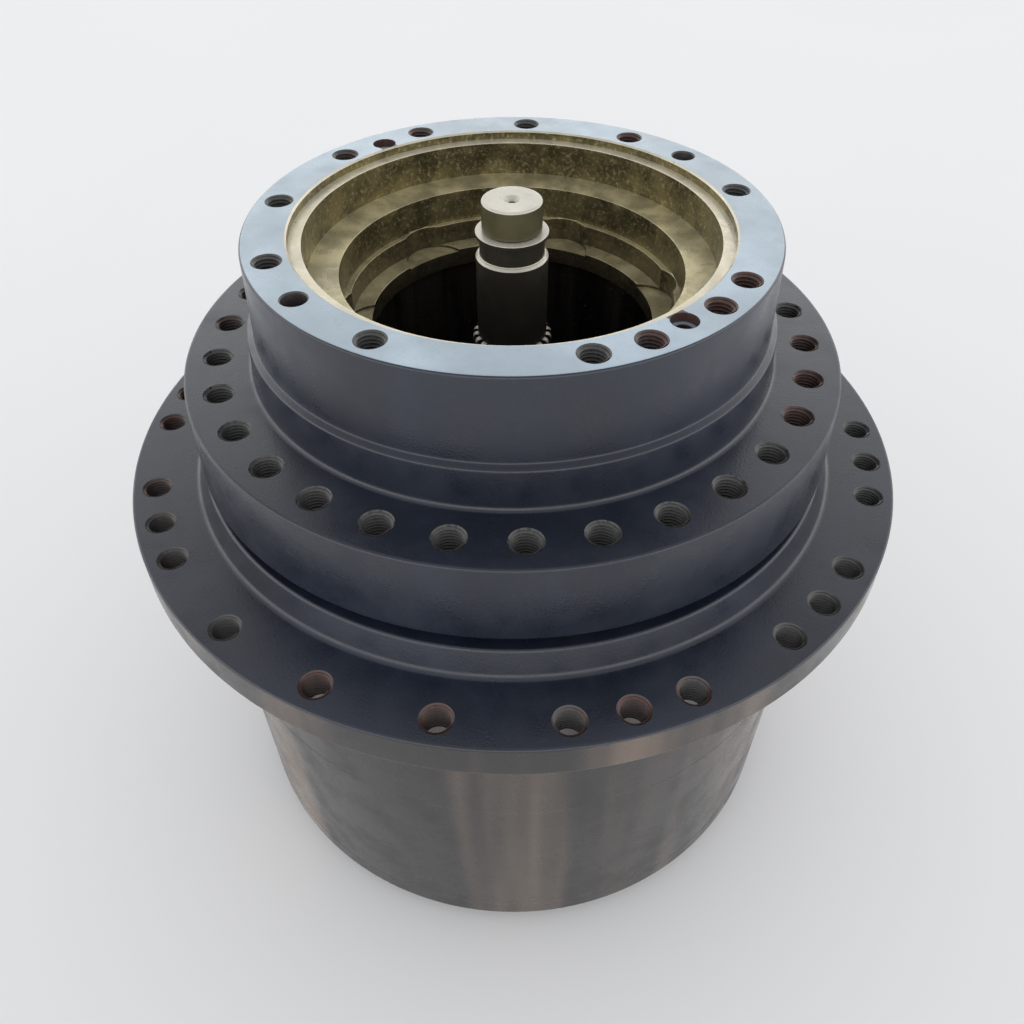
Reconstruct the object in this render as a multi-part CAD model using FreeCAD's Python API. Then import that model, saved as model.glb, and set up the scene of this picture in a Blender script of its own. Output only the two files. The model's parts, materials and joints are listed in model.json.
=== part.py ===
"""Excavator final drive: a two-stage planetary travel reduction gear.

Millimetres. +Z points along the shaft towards the hydraulic motor, and the origin is the centre of
the face that the motor bolts to. The spindle, the second-stage carrier and the inner bearing rings
stand still. The drum (hub, ring gear and end cover) turns round them and drives the track sprocket.
-Y runs through the middle one of the three single bolt holes of the sprocket flange.
"""
import FreeCAD, Part
import math
import os

Vector = FreeCAD.Vector
AXIS = Vector(0, 0, 1)
ORIGIN = Vector(0, 0, 0)

# ---------------------------------------------------------------- clearances
running_gap = 0.05          # a shaft in its bush, on the radius
seat_gap = 0.02             # a pin, dowel or bolt that stays where it is put, on the radius
free_gap = 0.25             # faces of different bodies that pass each other
spigot_gap = 0.05           # a register in its bore, on the radius
bolt_hole_gap = 1.0         # a bolt in a plain hole, on the radius

# ---------------------------------------------------------------- gear train
module = 5.0
pressure_angle = math.radians(25)
tooth_thinning = 0.25       # taken off each tooth's thickness, so that the teeth run with backlash
ring_teeth = 78
sun_one_teeth = 12
sun_two_teeth = 18
stage_one_planets = 3
stage_two_planets = 4
planet_one_teeth = (ring_teeth - sun_one_teeth) // 2
planet_two_teeth = (ring_teeth - sun_two_teeth) // 2
planet_one_circle = module * (planet_one_teeth + sun_one_teeth) / 2
planet_two_circle = module * (planet_two_teeth + sun_two_teeth) / 2
addendum = module           # tooth above the pitch circle
dedendum = 1.25 * module    # and below it
ring_root_radius = module * ring_teeth / 2 + dedendum
ring_tip_radius = module * ring_teeth / 2 - addendum
first_planet_two_angle = 0.0
first_planet_one_angle = 30.0

# ---------------------------------------------------------------- spindle, motor end
# Radii build outwards and inwards from the motor's spigot.
spindle_turn = 153.9        # degrees from +X to the line on which the motor's bolt pattern is mirrored
pilot_radius = 139.5        # the motor's spigot
pilot_depth = 30.0
seat_ledge = 8.5            # width of the recess round the spigot that takes the motor's face seal
seat_depth = 6.0
motor_bolt_room = 14.3      # from the recess to the motor's bolt circle
motor_edge_room = 15.7      # from the bolt circle to the flange's edge
motor_flange_height = 58.0
motor_flange_draft = 2.5    # how much wider the flange is at its foot
neck_step = 7.0             # from the motor flange's edge out to the neck
neck_draft = 2.0
neck_lead = 2.0             # fall of the sloped ledge between the two
frame_bolt_room = 24.5      # from the neck's foot to the frame's bolt circle
frame_edge_room = 22.5      # from the bolt circle to the flange's edge
frame_face_height = -88.8
frame_flange_thickness = 58.2
frame_flange_draft = 2.5
edge_chamfer = 1.2
foot_fillet = 3.0
seat_radius = pilot_radius + seat_ledge
motor_bolt_circle = seat_radius + motor_bolt_room
motor_flange_radius = motor_bolt_circle + motor_edge_room
neck_radius = motor_flange_radius + neck_step
neck_foot_radius = neck_radius + neck_draft
frame_bolt_circle = neck_foot_radius + frame_bolt_room
frame_flange_radius = frame_bolt_circle + frame_edge_room

chamber_step = 21.0         # each step of the well is this much nearer the axis than the one above
chamber_depth = 55.0
lip_step = 4.5
lip_depth = 70.5
throat_step = 13.4
throat_depth = 87.0
throat_flare = 3.0
chamber_radius = pilot_radius - chamber_step
lip_radius = chamber_radius - lip_step
throat_radius = lip_radius - throat_step
oil_bore_radius = 106.0
ledge_slope = 1.8           # the ledge under the pilot falls this much towards the axis
pocket_count = 6
pocket_reach = 4.6          # the pockets' middles lie this much nearer the axis than the throat's wall
pocket_radius = 23.0
pocket_floor = 1.8          # how far the pockets sink under the lip's ledge
pocket_circle = throat_radius - pocket_reach

motor_bolt_angles = (12.1, 42.2, 72.1, 113.1, 157.6, 170.1)
motor_bolt_depth = 42.0
motor_bolt_radius = 9.0
motor_plain_angle = 90.0    # two plain holes, one each side of the mirror line
motor_plain_radius = 8.0
motor_dowel_inset = 4.3     # the dowels stand this much nearer the axis than the bolts
motor_dowel_circle = motor_bolt_circle - motor_dowel_inset
motor_dowel_radius = 5.5
motor_dowel_sink_radius = 8.5
motor_dowel_sink_depth = 6.0
motor_dowel_depth = 22.0

# ---------------------------------------------------------------- spindle, bearing end
bearing_wall = 34.0         # spindle wall between the oil bore and the bearings
bearing_section = 40.0      # from a bearing's bore to its outside
bearing_width = 38.0
bearing_spacer = 56.0       # between the two outer rings
upper_bearing_top = -178.0
bearing_bore_radius = oil_bore_radius + bearing_wall
bearing_outer_radius = bearing_bore_radius + bearing_section
bearing_shoulder_step = 14.0
bearing_shoulder_radius = bearing_bore_radius + bearing_shoulder_step
seal_neck_room = 8.0        # the seal's neck is this much wider than the bearings
seal_neck_radius = bearing_outer_radius + seal_neck_room
seal_neck_length = 13.0
nut_thread_step = 2.0
nut_thread_radius = bearing_bore_radius - nut_thread_step
nut_wall = 26.0
nut_radius = nut_thread_radius + nut_wall
nut_width = 18.0
nut_slot_count = 4
nut_slot_width = 16.0
nut_slot_depth = 9.0
nut_screw_count = 3
nut_screw_radius = 4.0
nut_screw_inset = 3.0       # the screws end this far inside the nut's rim
nut_screw_break = 5.0       # their holes run on this far, out through the rim
spindle_end_reserve = 6.0   # spindle standing out past the nut

# ---------------------------------------------------------------- floating seal
seal_ring_gap = 7.0         # from the spindle's neck to the bore of the hard rings
seal_ring_bore = seal_neck_radius + seal_ring_gap
seal_face_width = 14.0
seal_face_height = 5.0
seal_flank = 3.0            # height of the slope behind the running face
seal_ring_height = 14.0
seal_waist = 8.0
seal_waist_radius = seal_ring_bore + seal_waist
toric_width = 17.0          # from the hard ring's waist to the wall of the seal bore
toric_height = 9.0
toric_seat = 4.0            # the rubber starts this far behind the running face's back
toric_bulge = 2.5
toric_gap = 0.2
seal_bore_radius = seal_waist_radius + toric_width
seal_bore_depth = 17.0
frame_bolt_count = 30
frame_bolt_radius = 10.0    # M20, cut to the thread's outer diameter
frame_bolt_floor = 5.2      # metal left between these holes and the seal bore
frame_bolt_depth = frame_flange_thickness - seal_bore_depth - frame_bolt_floor

# ---------------------------------------------------------------- bearing rollers
roller_count = 32
roller_circle = (bearing_bore_radius + bearing_outer_radius) / 2
roller_share = 0.425        # of the bearing's section that the rollers' diameter takes
roller_radius = roller_share * bearing_section / 2
roller_length = 26.0
roller_tilt = math.radians(15)
roller_gap = 0.15
race_rib = 4.0
rib_height = 4.0
cage_thickness = 3.0
cage_end_gap = 1.0
cage_window_gap = 0.35

# ---------------------------------------------------------------- drum
ring_wall = 51.45           # ring gear's wall outside the tooth roots
drum_radius = ring_root_radius + ring_wall
collar_gap = 10.6           # the open slit between the frame flange and the drum's collar
collar_overhang = 2.4       # the collar is this much wider than the frame flange's face
collar_flare = 7.4
collar_height = 18.6
collar_fillet = 3.0
collar_top_radius = frame_flange_radius + collar_overhang
collar_foot_radius = collar_top_radius + collar_flare
sprocket_bolt_room = 22.3   # from the drum's wall to the sprocket's bolt circle
sprocket_edge_room = 18.0   # from the bolt circle to the flange's edge
sprocket_bolt_circle = drum_radius + sprocket_bolt_room
sprocket_flange_radius = sprocket_bolt_circle + sprocket_edge_room
sprocket_flange_thickness = 25.8
sprocket_flange_draft = 0.8
sprocket_fillet = 5.0
hub_shoulder_step = 12.0    # the shoulders under the bearings stand this far in
hub_shoulder_radius = bearing_outer_radius - hub_shoulder_step
hub_shoulder_width = 12.0
hub_pocket_step = 20.0      # the oil room between the bearings is this much wider than they are
hub_pocket_radius = bearing_outer_radius + hub_pocket_step
hub_mouth_step = 6.0
hub_mouth_radius = bearing_outer_radius + hub_mouth_step
hub_mouth_depth = 14.0
hub_floor_drop = 14.4       # from the collar's top down to the floor of its seal bore
hub_end = -332.0
ring_bore_step = 2.75       # the ring gear's plain ends are bored this much wider than its roots
ring_bore_radius = ring_root_radius + ring_bore_step
ring_gear_length = 164.0
ring_relief = 10.0          # teeth are turned away this far at the hub end
cover_relief = 5.0          # and this far at the cover end
root_overlap = 1.0          # how far the turned blank and the tooth cutter run into each other
seam_chamfer = 1.0

sprocket_divisions = 44
sprocket_bolt_steps = (0, 2, 4, 5, 6, 8, 9, 10, 12, 13, 14, 16, 17, 18, 20, 22)
sprocket_bolt_radius = 10.0

hub_spigot_height = 6.0
hub_spigot_wall = 17.0

long_bolt_count = 24
long_bolt_room = 27.75      # from the tooth roots to the long bolts' circle
long_bolt_circle = ring_root_radius + long_bolt_room
long_bolt_radius = 10.0
long_bolt_grip = 36.0       # thread in the hub
long_head_radius = 15.0
long_head_height = 20.0
long_hex_width = 17.0
head_sink_gap = 1.0
thread_end_gap = 2.0        # free depth past the end of a bolt
dowel_count = 4
dowel_radius = 8.0
dowel_length = 30.0
dowel_end_gap = 0.5         # free depth past each end of a dowel

# ---------------------------------------------------------------- end cover
cover_rim_thickness = 18.0
cover_cavity_depth = 16.0
cover_floor_thickness = 16.0
cover_spigot_wall = 8.0
cover_cavity_radius = ring_bore_radius - cover_spigot_wall
cover_spigot_height = 4.0
cover_shoulder_width = 40.7 # flat rim outside the dome, where the bolts sit
cover_dome_radius = drum_radius - cover_shoulder_width
cover_dome_slope = 12.0
cover_dome_top_radius = cover_dome_radius - cover_dome_slope
cover_foot_radius = 120.0
cover_foot_height = 6.0
cover_fillet = 4.0
cover_bolt_count = 12
cover_bolt_inset = 18.7     # from the drum's outside to the cover bolts' circle
cover_bolt_circle = drum_radius - cover_bolt_inset
cover_bolt_radius = 8.0
cover_bolt_grip = 28.0
cover_head_radius = 13.8
cover_head_height = 10.0
plug_count = 3
plug_circle = 160.0
plug_radius = 12.0
plug_head_radius = 17.0
plug_head_height = 4.0
plug_socket_width = 12.0
plug_socket_depth = 7.0
washer_thickness = 1.5

# ---------------------------------------------------------------- rubber ring between hub and ring gear
o_ring_room = 8.0           # from the ring gear's plain bore to the middle of the rubber ring
o_ring_circle = ring_bore_radius + o_ring_room
o_ring_width = 5.0
o_ring_squeeze = 0.3

# ---------------------------------------------------------------- second-stage carrier (fixed)
carrier_tip_room = 7.0      # from the ring gear's tooth tips to the carriers' rims
carrier_radius = ring_tip_radius - carrier_tip_room
carrier_two_top = 28.0
carrier_two_foot = 14.0
planet_two_width = 61.5
planet_pocket_gap = 5.0     # room round a planet's tooth tips
carrier_core_radius = 104.0 # everything inside this is cut away between the plates
carrier_two_bore = 40.0
sun_way_gap = 4.0
pin_two_radius = 28.0
bush_wall = 6.0
washer_two_thickness = 2.0
washer_two_radius = 46.0
pin_recess = 2.0
keeper_two_radius = 4.0
keeper_bite = 12.0          # how far a keeper enters its pin
keeper_inset = 2.0          # it ends this far inside the carrier's rim
keeper_hole_reserve = 1.0   # its hole is this much deeper
keeper_hole_break = 5.0     # and runs on this far, out through the rim
carrier_bolt_circle = (oil_bore_radius + nut_thread_radius) / 2
carrier_bolt_radius = 8.0
carrier_bolt_gap = 0.5      # the bolts in the carrier, on the radius
carrier_bolt_head_radius = 12.0
carrier_bolt_head_height = 15.0
carrier_bolt_hex_width = 14.0
carrier_bolt_socket = 8.0   # depth of the hexagon socket
carrier_bolt_spread = 15.0  # degrees between neighbouring carrier bolts
carrier_bolt_grip = 30.0
carrier_dowel_circle = 130.0
carrier_dowel_radius = 5.0
carrier_dowel_length = 24.0
carrier_dowel_angle = 37.5

# ---------------------------------------------------------------- first-stage carrier (turns)
stage_gap = 4.0
carrier_one_top = 12.0
carrier_one_foot = 10.0
planet_one_width = 29.5
carrier_one_bore = 60.0
pin_one_radius = 24.0
washer_one_thickness = 1.5
washer_one_radius = 40.0
keeper_one_radius = 3.0
sun_two_bore = 29.0
snap_ring_thickness = 2.0
snap_ring_bore = 36.0
snap_ring_radius = 52.0
snap_ring_room = 0.5        # between the ring and the sun
snap_ring_lift = 0.2
spline_gap = 0.05

# ---------------------------------------------------------------- input shaft
shaft_top = 13.5
journal_radius = 20.5
journal_length = 19.7
journal_chamfer = 1.5
groove_radius = 19.0
groove_width = 1.6
collar_radius = 25.0
collar_width = 3.0
shaft_neck_radius = 22.3
shaft_neck_length = 15.2
body_radius = 25.0
body_length = 60.5
body_chamfer = 1.4
spline_teeth = 22
spline_tip_radius = 28.75
spline_length = 62.0
spline_lead = 3.6           # length of the slope that the teeth start with
spline_run_out = 3.0        # length of the slope from the splines down to the stem
spline_overlap = 2.0        # how far the splines' ring is sunk in the shaft, so that the two fuse
gap_foot_share = 0.36       # of half a pitch that a tooth gap takes at its foot
gap_mouth_share = 0.66      # and at its mouth
gap_overrun = 1.0           # how far the gap cutters reach past the tooth tips
stem_radius = 22.0
sun_seat_radius = 17.0
seat_lead = 2.0             # length of the slope down to the seat
centre_hole_radius = 3.0
centre_sink_radius = 5.5
centre_sink_depth = 3.0
centre_hole_depth = 12.0
sun_one_overhang = 1.5      # how far the sun is longer than its planets, at each end
shaft_tail = 3.0
tail_ring_radius = 20.0
tail_ring_thickness = 2.0
button_radius = 12.0
button_stem_radius = 5.0
button_stem_length = 12.0
button_stem_gap = 1.0
thrust_plate_radius = 42.0
thrust_plate_thickness = 4.0
thrust_screw_count = 3
thrust_screw_radius = 3.0
thrust_screw_circle = 30.0
thrust_screw_length = 12.0
thrust_screw_gap = 1.0

# ---------------------------------------------------------------- heights that follow
frame_flange_foot = frame_face_height - frame_flange_thickness
collar_top = frame_flange_foot - collar_gap
sprocket_face = collar_top - collar_height
sprocket_foot = sprocket_face - sprocket_flange_thickness
seal_plane = frame_flange_foot - collar_gap / 2
upper_bearing_foot = upper_bearing_top - bearing_width
lower_bearing_top = upper_bearing_foot - bearing_spacer
lower_bearing_foot = lower_bearing_top - bearing_width
nut_foot = lower_bearing_foot - nut_width
spindle_end = nut_foot - spindle_end_reserve
ring_gear_foot = hub_end - ring_gear_length
cover_rim_foot = ring_gear_foot - cover_rim_thickness
cover_floor = ring_gear_foot - cover_cavity_depth
cover_face = cover_floor - cover_floor_thickness
cover_foot = cover_face - cover_foot_height
planet_two_top = spindle_end - carrier_two_top - washer_two_thickness - free_gap
planet_two_foot = planet_two_top - planet_two_width
carrier_two_low_plate = planet_two_foot - washer_two_thickness - free_gap
carrier_two_end = carrier_two_low_plate - carrier_two_foot
carrier_one_start = carrier_two_end - stage_gap
carrier_one_high_plate = carrier_one_start - carrier_one_top
planet_one_top = carrier_one_high_plate - washer_one_thickness - free_gap
planet_one_foot = planet_one_top - planet_one_width
carrier_one_low_plate = planet_one_foot - washer_one_thickness - free_gap
carrier_one_end = carrier_one_low_plate - carrier_one_foot
sun_one_top = planet_one_top + sun_one_overhang - free_gap
sun_one_foot = planet_one_foot - sun_one_overhang
shaft_foot = sun_one_foot - shaft_tail
thrust_plate_top = cover_floor + thrust_plate_thickness


# ================================================================ helpers
def on_circle(radius, degrees, height=0.0):
    """The point at a radius, angle and height."""
    angle = math.radians(degrees)
    return Vector(radius * math.cos(angle), radius * math.sin(angle), height)


def evenly(count, first=0.0):
    """The angles, in degrees, of a number of places spread evenly round the axis."""
    return [first + 360.0 * index / count for index in range(count)]


def rounding(corner, before, after, radius):
    """Start, middle and end of the arc that rounds a corner of an outline."""
    arriving = (corner - before).normalize()
    leaving = (after - corner).normalize()
    half_turn = arriving.getAngle(leaving) / 2
    reach = radius * math.tan(half_turn)
    inward = (leaving - arriving).normalize()
    middle = corner + inward * (radius / math.cos(half_turn) - radius)
    return corner - arriving * reach, middle, corner + leaving * reach


def turned(*corners):
    """A solid turned about Z. Each corner is (radius, height) or (radius, height, rounding)."""
    places = [Vector(corner[0], 0, corner[1]) for corner in corners]
    edges = []
    pen = None
    first = None
    for index, corner in enumerate(corners):
        start = end = places[index]
        if len(corner) > 2:
            following = places[(index + 1) % len(places)]
            start, middle, end = rounding(places[index], places[index - 1], following, corner[2])
        if pen is None:
            first = start
        else:
            edges.append(Part.makeLine(pen, start))
        if len(corner) > 2:
            edges.append(Part.Arc(start, middle, end).toShape())
        pen = end
    edges.append(Part.makeLine(pen, first))
    face = Part.Face(Part.Wire(edges))
    solid = face.revolve(ORIGIN, AXIS, 360)
    if solid.Volume < 0:
        solid.reverse()
    return solid


def ring(inner, outer, top, foot):
    """A plain ring, or a disc where the inner radius is 0."""
    disc = Part.makeCylinder(outer, top - foot, Vector(0, 0, foot))
    if inner <= 0:
        return disc
    return disc.cut(Part.makeCylinder(inner, top - foot, Vector(0, 0, foot)))


def rods(radius, top, foot, places):
    """Upright cylinders, one at each place."""
    return [
        Part.makeCylinder(radius, top - foot, Vector(place.x, place.y, foot)) for place in places
    ]


def prism(sides, across_corners, top, foot, place, turn=0.0):
    """An upright prism with an even number of equal sides."""
    corners = [
        on_circle(across_corners, angle) + Vector(place.x, place.y, foot)
        for angle in evenly(sides, turn)
    ]
    outline = Part.makePolygon(corners + corners[:1])
    return Part.Face(outline).extrude(Vector(0, 0, top - foot))


def hex_corner(width_across_flats):
    """Half the width across the corners of a hexagon, from its width across flats."""
    return width_across_flats / math.sqrt(3)


def placed(radius, angles):
    """Places on one circle."""
    return [on_circle(radius, angle) for angle in angles]


def cut_all(solid, tools):
    """Take a list of tools away from a solid."""
    return solid.cut(Part.makeCompound(tools))


def save(name, *solids):
    """Write one node: a single solid, or a group of separate like ones."""
    shape = solids[0] if len(solids) == 1 else Part.makeCompound(list(solids))
    shape.exportStep(os.path.join("parts", name + ".step"))


# ================================================================ gear teeth
def involute(angle):
    return math.tan(angle) - angle


def root_of(teeth):
    """Root radius of an external gear."""
    return module * teeth / 2 - dedendum


def tip_of(teeth):
    """Tip radius of an external gear."""
    return module * teeth / 2 + addendum


def half_tooth(teeth, radius, thinning):
    """Half the angle that one tooth covers at a radius, in radians."""
    pitch_radius = module * teeth / 2
    base_radius = pitch_radius * math.cos(pressure_angle)
    local = math.acos(min(1.0, base_radius / radius))
    at_pitch = math.pi / (2 * teeth) - thinning / (2 * pitch_radius)
    return at_pitch + involute(pressure_angle) - involute(local)


def toothed_outline(teeth, root_radius, tip_radius, thinning, turn):
    """Closed outline of an external gear with involute flanks. One tooth stands at the angle turn."""
    base_radius = module * teeth / 2 * math.cos(pressure_angle)
    flank_foot = max(root_radius, base_radius + 0.01)
    flank_middle = (flank_foot + tip_radius) / 2
    edges = []
    pen = None
    first = None
    for middle_angle in evenly(teeth, turn):
        rising = []
        for radius in (flank_foot, flank_middle, tip_radius):
            rising.append((radius, math.degrees(half_tooth(teeth, radius, thinning))))
        up = [on_circle(radius, middle_angle - half) for radius, half in rising]
        down = [on_circle(radius, middle_angle + half) for radius, half in reversed(rising)]
        root_start = on_circle(root_radius, middle_angle - rising[0][1])
        root_end = on_circle(root_radius, middle_angle + rising[0][1])
        if pen is None:
            first = root_start
        else:
            edges.append(Part.makeLine(pen, root_start))
        if flank_foot > root_radius:
            edges.append(Part.makeLine(root_start, up[0]))
        edges.append(Part.Arc(*up).toShape())
        edges.append(Part.makeLine(up[2], down[0]))
        edges.append(Part.Arc(*down).toShape())
        if flank_foot > root_radius:
            edges.append(Part.makeLine(down[2], root_end))
        pen = root_end
    edges.append(Part.makeLine(pen, first))
    return Part.Wire(edges)


def external_gear(teeth, top, foot, turn, bore):
    """A spur gear about the Z axis, with a bore."""
    outline = toothed_outline(teeth, root_of(teeth), tip_of(teeth), tooth_thinning, turn)
    hole = Part.Wire(Part.makeCircle(bore, ORIGIN, AXIS))
    gear = Part.Face([outline, hole]).extrude(Vector(0, 0, top - foot))
    gear.translate(Vector(0, 0, foot))
    return gear


def planet_turn(planet_angle, planet_teeth):
    """The angle at which a planet's tooth stands when it enters a space of the ring gear."""
    return planet_angle - planet_angle * ring_teeth / planet_teeth


def sun_turn(planet_angle, planet_teeth, sun_teeth):
    """The angle at which the sun's tooth stands when it is in mesh with a planet."""
    away = planet_angle + 180 - planet_turn(planet_angle, planet_teeth)
    return planet_angle + away * planet_teeth / sun_teeth + 180 / sun_teeth


def planet_gear(teeth, top, foot, bore, circle, angle):
    """One planet at its place, in mesh with the ring gear."""
    gear = external_gear(teeth, top, foot, planet_turn(angle, teeth), bore)
    gear.translate(on_circle(circle, angle))
    return gear


# ================================================================ spindle
def spindle_blank():
    """The whole turned and cast form of the spindle, from the motor's face to the bearing nut."""
    flange_foot = -motor_flange_height
    frame_foot_radius = frame_flange_radius + frame_flange_draft
    seal_top = frame_flange_foot + seal_bore_depth
    neck_end = seal_plane - seal_neck_length / 2
    outside = [
        (motor_flange_radius - edge_chamfer, 0),
        (motor_flange_radius, -edge_chamfer),
        (motor_flange_radius + motor_flange_draft, flange_foot),
        (neck_radius, flange_foot - neck_lead),
        (neck_foot_radius, frame_face_height, foot_fillet),
        (frame_flange_radius - edge_chamfer, frame_face_height),
        (frame_flange_radius, frame_face_height - edge_chamfer),
        (frame_foot_radius, frame_flange_foot + edge_chamfer),
        (frame_foot_radius - edge_chamfer, frame_flange_foot),
        (seal_bore_radius, frame_flange_foot),
        (seal_bore_radius, seal_top),
        (seal_neck_radius, seal_top, foot_fillet),
        (seal_neck_radius, neck_end),
        (bearing_shoulder_radius, neck_end, foot_fillet),
        (bearing_shoulder_radius, upper_bearing_top),
        (bearing_bore_radius, upper_bearing_top),
        (bearing_bore_radius, lower_bearing_foot),
        (nut_thread_radius, lower_bearing_foot),
        (nut_thread_radius, spindle_end + edge_chamfer),
        (nut_thread_radius - edge_chamfer, spindle_end),
    ]
    inside = [
        (oil_bore_radius, spindle_end),
        (oil_bore_radius, -throat_depth),
        (throat_radius, -throat_depth + throat_flare),
        (throat_radius, -lip_depth),
        (lip_radius, -lip_depth),
        (lip_radius, -chamber_depth),
        (chamber_radius, -chamber_depth),
        (chamber_radius, -pilot_depth - ledge_slope),
        (pilot_radius, -pilot_depth),
        (pilot_radius, -seat_depth),
        (seat_radius, -seat_depth),
        (seat_radius, -edge_chamfer),
        (seat_radius + edge_chamfer, 0),
    ]
    return turned(*outside, *inside)


def lock_pockets():
    """Round pockets in the lip below the motor chamber."""
    foot = -lip_depth - pocket_floor
    places = placed(pocket_circle, evenly(pocket_count, spindle_turn))
    return rods(pocket_radius, -chamber_depth, foot, places)


def motor_holes():
    """Threaded holes, two plain holes and two sunk dowel holes, mirrored about one line."""
    tools = []
    for angle in motor_bolt_angles:
        places = placed(motor_bolt_circle, (spindle_turn + angle, spindle_turn - angle))
        tools += rods(motor_bolt_radius, 0, -motor_bolt_depth, places)
    plain = (spindle_turn + motor_plain_angle, spindle_turn - motor_plain_angle)
    tools += rods(motor_plain_radius, 0, -motor_bolt_depth, placed(motor_bolt_circle, plain))
    dowels = placed(motor_dowel_circle, (spindle_turn, spindle_turn + 180))
    tools += rods(motor_dowel_radius, 0, -motor_dowel_depth, dowels)
    tools += rods(motor_dowel_sink_radius, 0, -motor_dowel_sink_depth, dowels)
    return tools


def frame_holes():
    places = placed(frame_bolt_circle, evenly(frame_bolt_count, spindle_turn))
    return rods(frame_bolt_radius, frame_face_height, frame_face_height - frame_bolt_depth, places)


def carrier_bolt_places():
    """Three bolts in each gap between two planet pins."""
    middles = evenly(stage_two_planets, first_planet_two_angle + 180 / stage_two_planets)
    offsets = (-carrier_bolt_spread, 0, carrier_bolt_spread)
    return placed(carrier_bolt_circle, [middle + offset for middle in middles for offset in offsets])


def carrier_dowel_places():
    return placed(carrier_dowel_circle, evenly(2, first_planet_two_angle + carrier_dowel_angle))


def nut_screws(radius, gap):
    """Grub screws that lock the bearing nut, pointing at the axis."""
    height = nut_foot + nut_width / 2
    screws = []
    for angle in evenly(nut_screw_count, 360 / nut_screw_count / 2):
        inward = on_circle(1, angle) * -1
        start = on_circle(nut_radius - nut_screw_inset + gap, angle, height)
        length = nut_radius - nut_screw_inset - nut_thread_radius - running_gap + gap
        screws.append(Part.makeCylinder(radius, length, start, inward))
    return screws


def make_spindle():
    bolts = rods(carrier_bolt_radius, spindle_end + carrier_bolt_grip, spindle_end, carrier_bolt_places())
    dowel_reach = spindle_end + carrier_dowel_length / 2
    dowels = rods(carrier_dowel_radius, dowel_reach, spindle_end, carrier_dowel_places())
    tools = lock_pockets() + motor_holes() + frame_holes() + bolts + dowels
    return cut_all(spindle_blank(), tools)


def make_bearing_nut():
    nut = ring(nut_thread_radius + running_gap, nut_radius, lower_bearing_foot, nut_foot)
    slots = []
    for angle in evenly(nut_slot_count):
        slot = Part.makeBox(nut_slot_depth * 2, nut_slot_width, nut_width)
        slot.translate(Vector(nut_radius - nut_slot_depth, -nut_slot_width / 2, nut_foot))
        slot.rotate(ORIGIN, AXIS, angle)
        slots.append(slot)
    screw_holes = nut_screws(nut_screw_radius, nut_screw_break)
    return cut_all(nut, slots + screw_holes)


# ================================================================ main bearings
def race_radius(height_from_middle, side):
    """Radius of a raceway at a height above the rollers' middle. side is -1 inside and 1 outside."""
    apex_distance = roller_circle / math.sin(roller_tilt)
    roller_cone = math.atan(roller_radius / apex_distance)
    along_axis = roller_circle / math.tan(roller_tilt) + height_from_middle
    return along_axis * math.tan(roller_tilt + side * roller_cone)


def bearing_parts(top, upright):
    """Inner ring, outer ring, cage and rollers. An upright bearing has its wide end on top."""
    half = bearing_width / 2
    middle = top - half
    race = half - race_rib
    inner = turned(
        (bearing_bore_radius, half),
        (bearing_bore_radius, -half),
        (race_radius(-race, -1) + rib_height, -half),
        (race_radius(-race, -1) + rib_height, -race),
        (race_radius(-race, -1), -race),
        (race_radius(race, -1), race),
        (race_radius(race, -1) + rib_height, race),
        (race_radius(race, -1) + rib_height, half),
    )
    outer = turned(
        (bearing_outer_radius - seat_gap, half),
        (race_radius(half, 1), half),
        (race_radius(-half, 1), -half),
        (bearing_outer_radius - seat_gap, -half),
    )
    rollers = bearing_rollers(roller_radius - roller_gap)
    slope = math.tan(roller_tilt)
    inside = roller_circle - cage_thickness / 2
    outside = roller_circle + cage_thickness / 2
    cage_half = half - cage_end_gap
    cage = turned(
        (inside + slope * cage_half, cage_half),
        (inside - slope * cage_half, -cage_half),
        (outside - slope * cage_half, -cage_half),
        (outside + slope * cage_half, cage_half),
    )
    cage = cut_all(cage, bearing_rollers(roller_radius + cage_window_gap, cage_window_gap))
    parts = [inner, outer, cage] + rollers
    for index, part in enumerate(parts):
        if not upright:
            part = part.mirror(ORIGIN, AXIS)
        part.translate(Vector(0, 0, middle))
        parts[index] = part
    return parts[0], parts[1], parts[2], parts[3:]


def bearing_rollers(radius, longer=0.0):
    """Tapered rollers round the middle of an upright bearing, with their apex on the axis below."""
    apex_distance = roller_circle / math.sin(roller_tilt)
    reach = roller_length / 2 + longer
    small = radius * (1 - reach / apex_distance)
    large = radius * (1 + reach / apex_distance)
    rollers = []
    for angle in evenly(roller_count):
        outward = on_circle(math.sin(roller_tilt), angle, math.cos(roller_tilt))
        start = on_circle(roller_circle, angle) - outward * reach
        rollers.append(Part.makeCone(small, large, 2 * reach, start, outward))
    return rollers


# ================================================================ drum
def sprocket_angles():
    """Angles of the sprocket bolts: groups of three and single ones, mirrored about X and Y."""
    step = 360.0 / sprocket_divisions
    angles = []
    for count in sprocket_bolt_steps:
        angles.append(-90 + count * step)
        if 0 < count < sprocket_divisions / 2:
            angles.append(-90 - count * step)
    return angles


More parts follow.
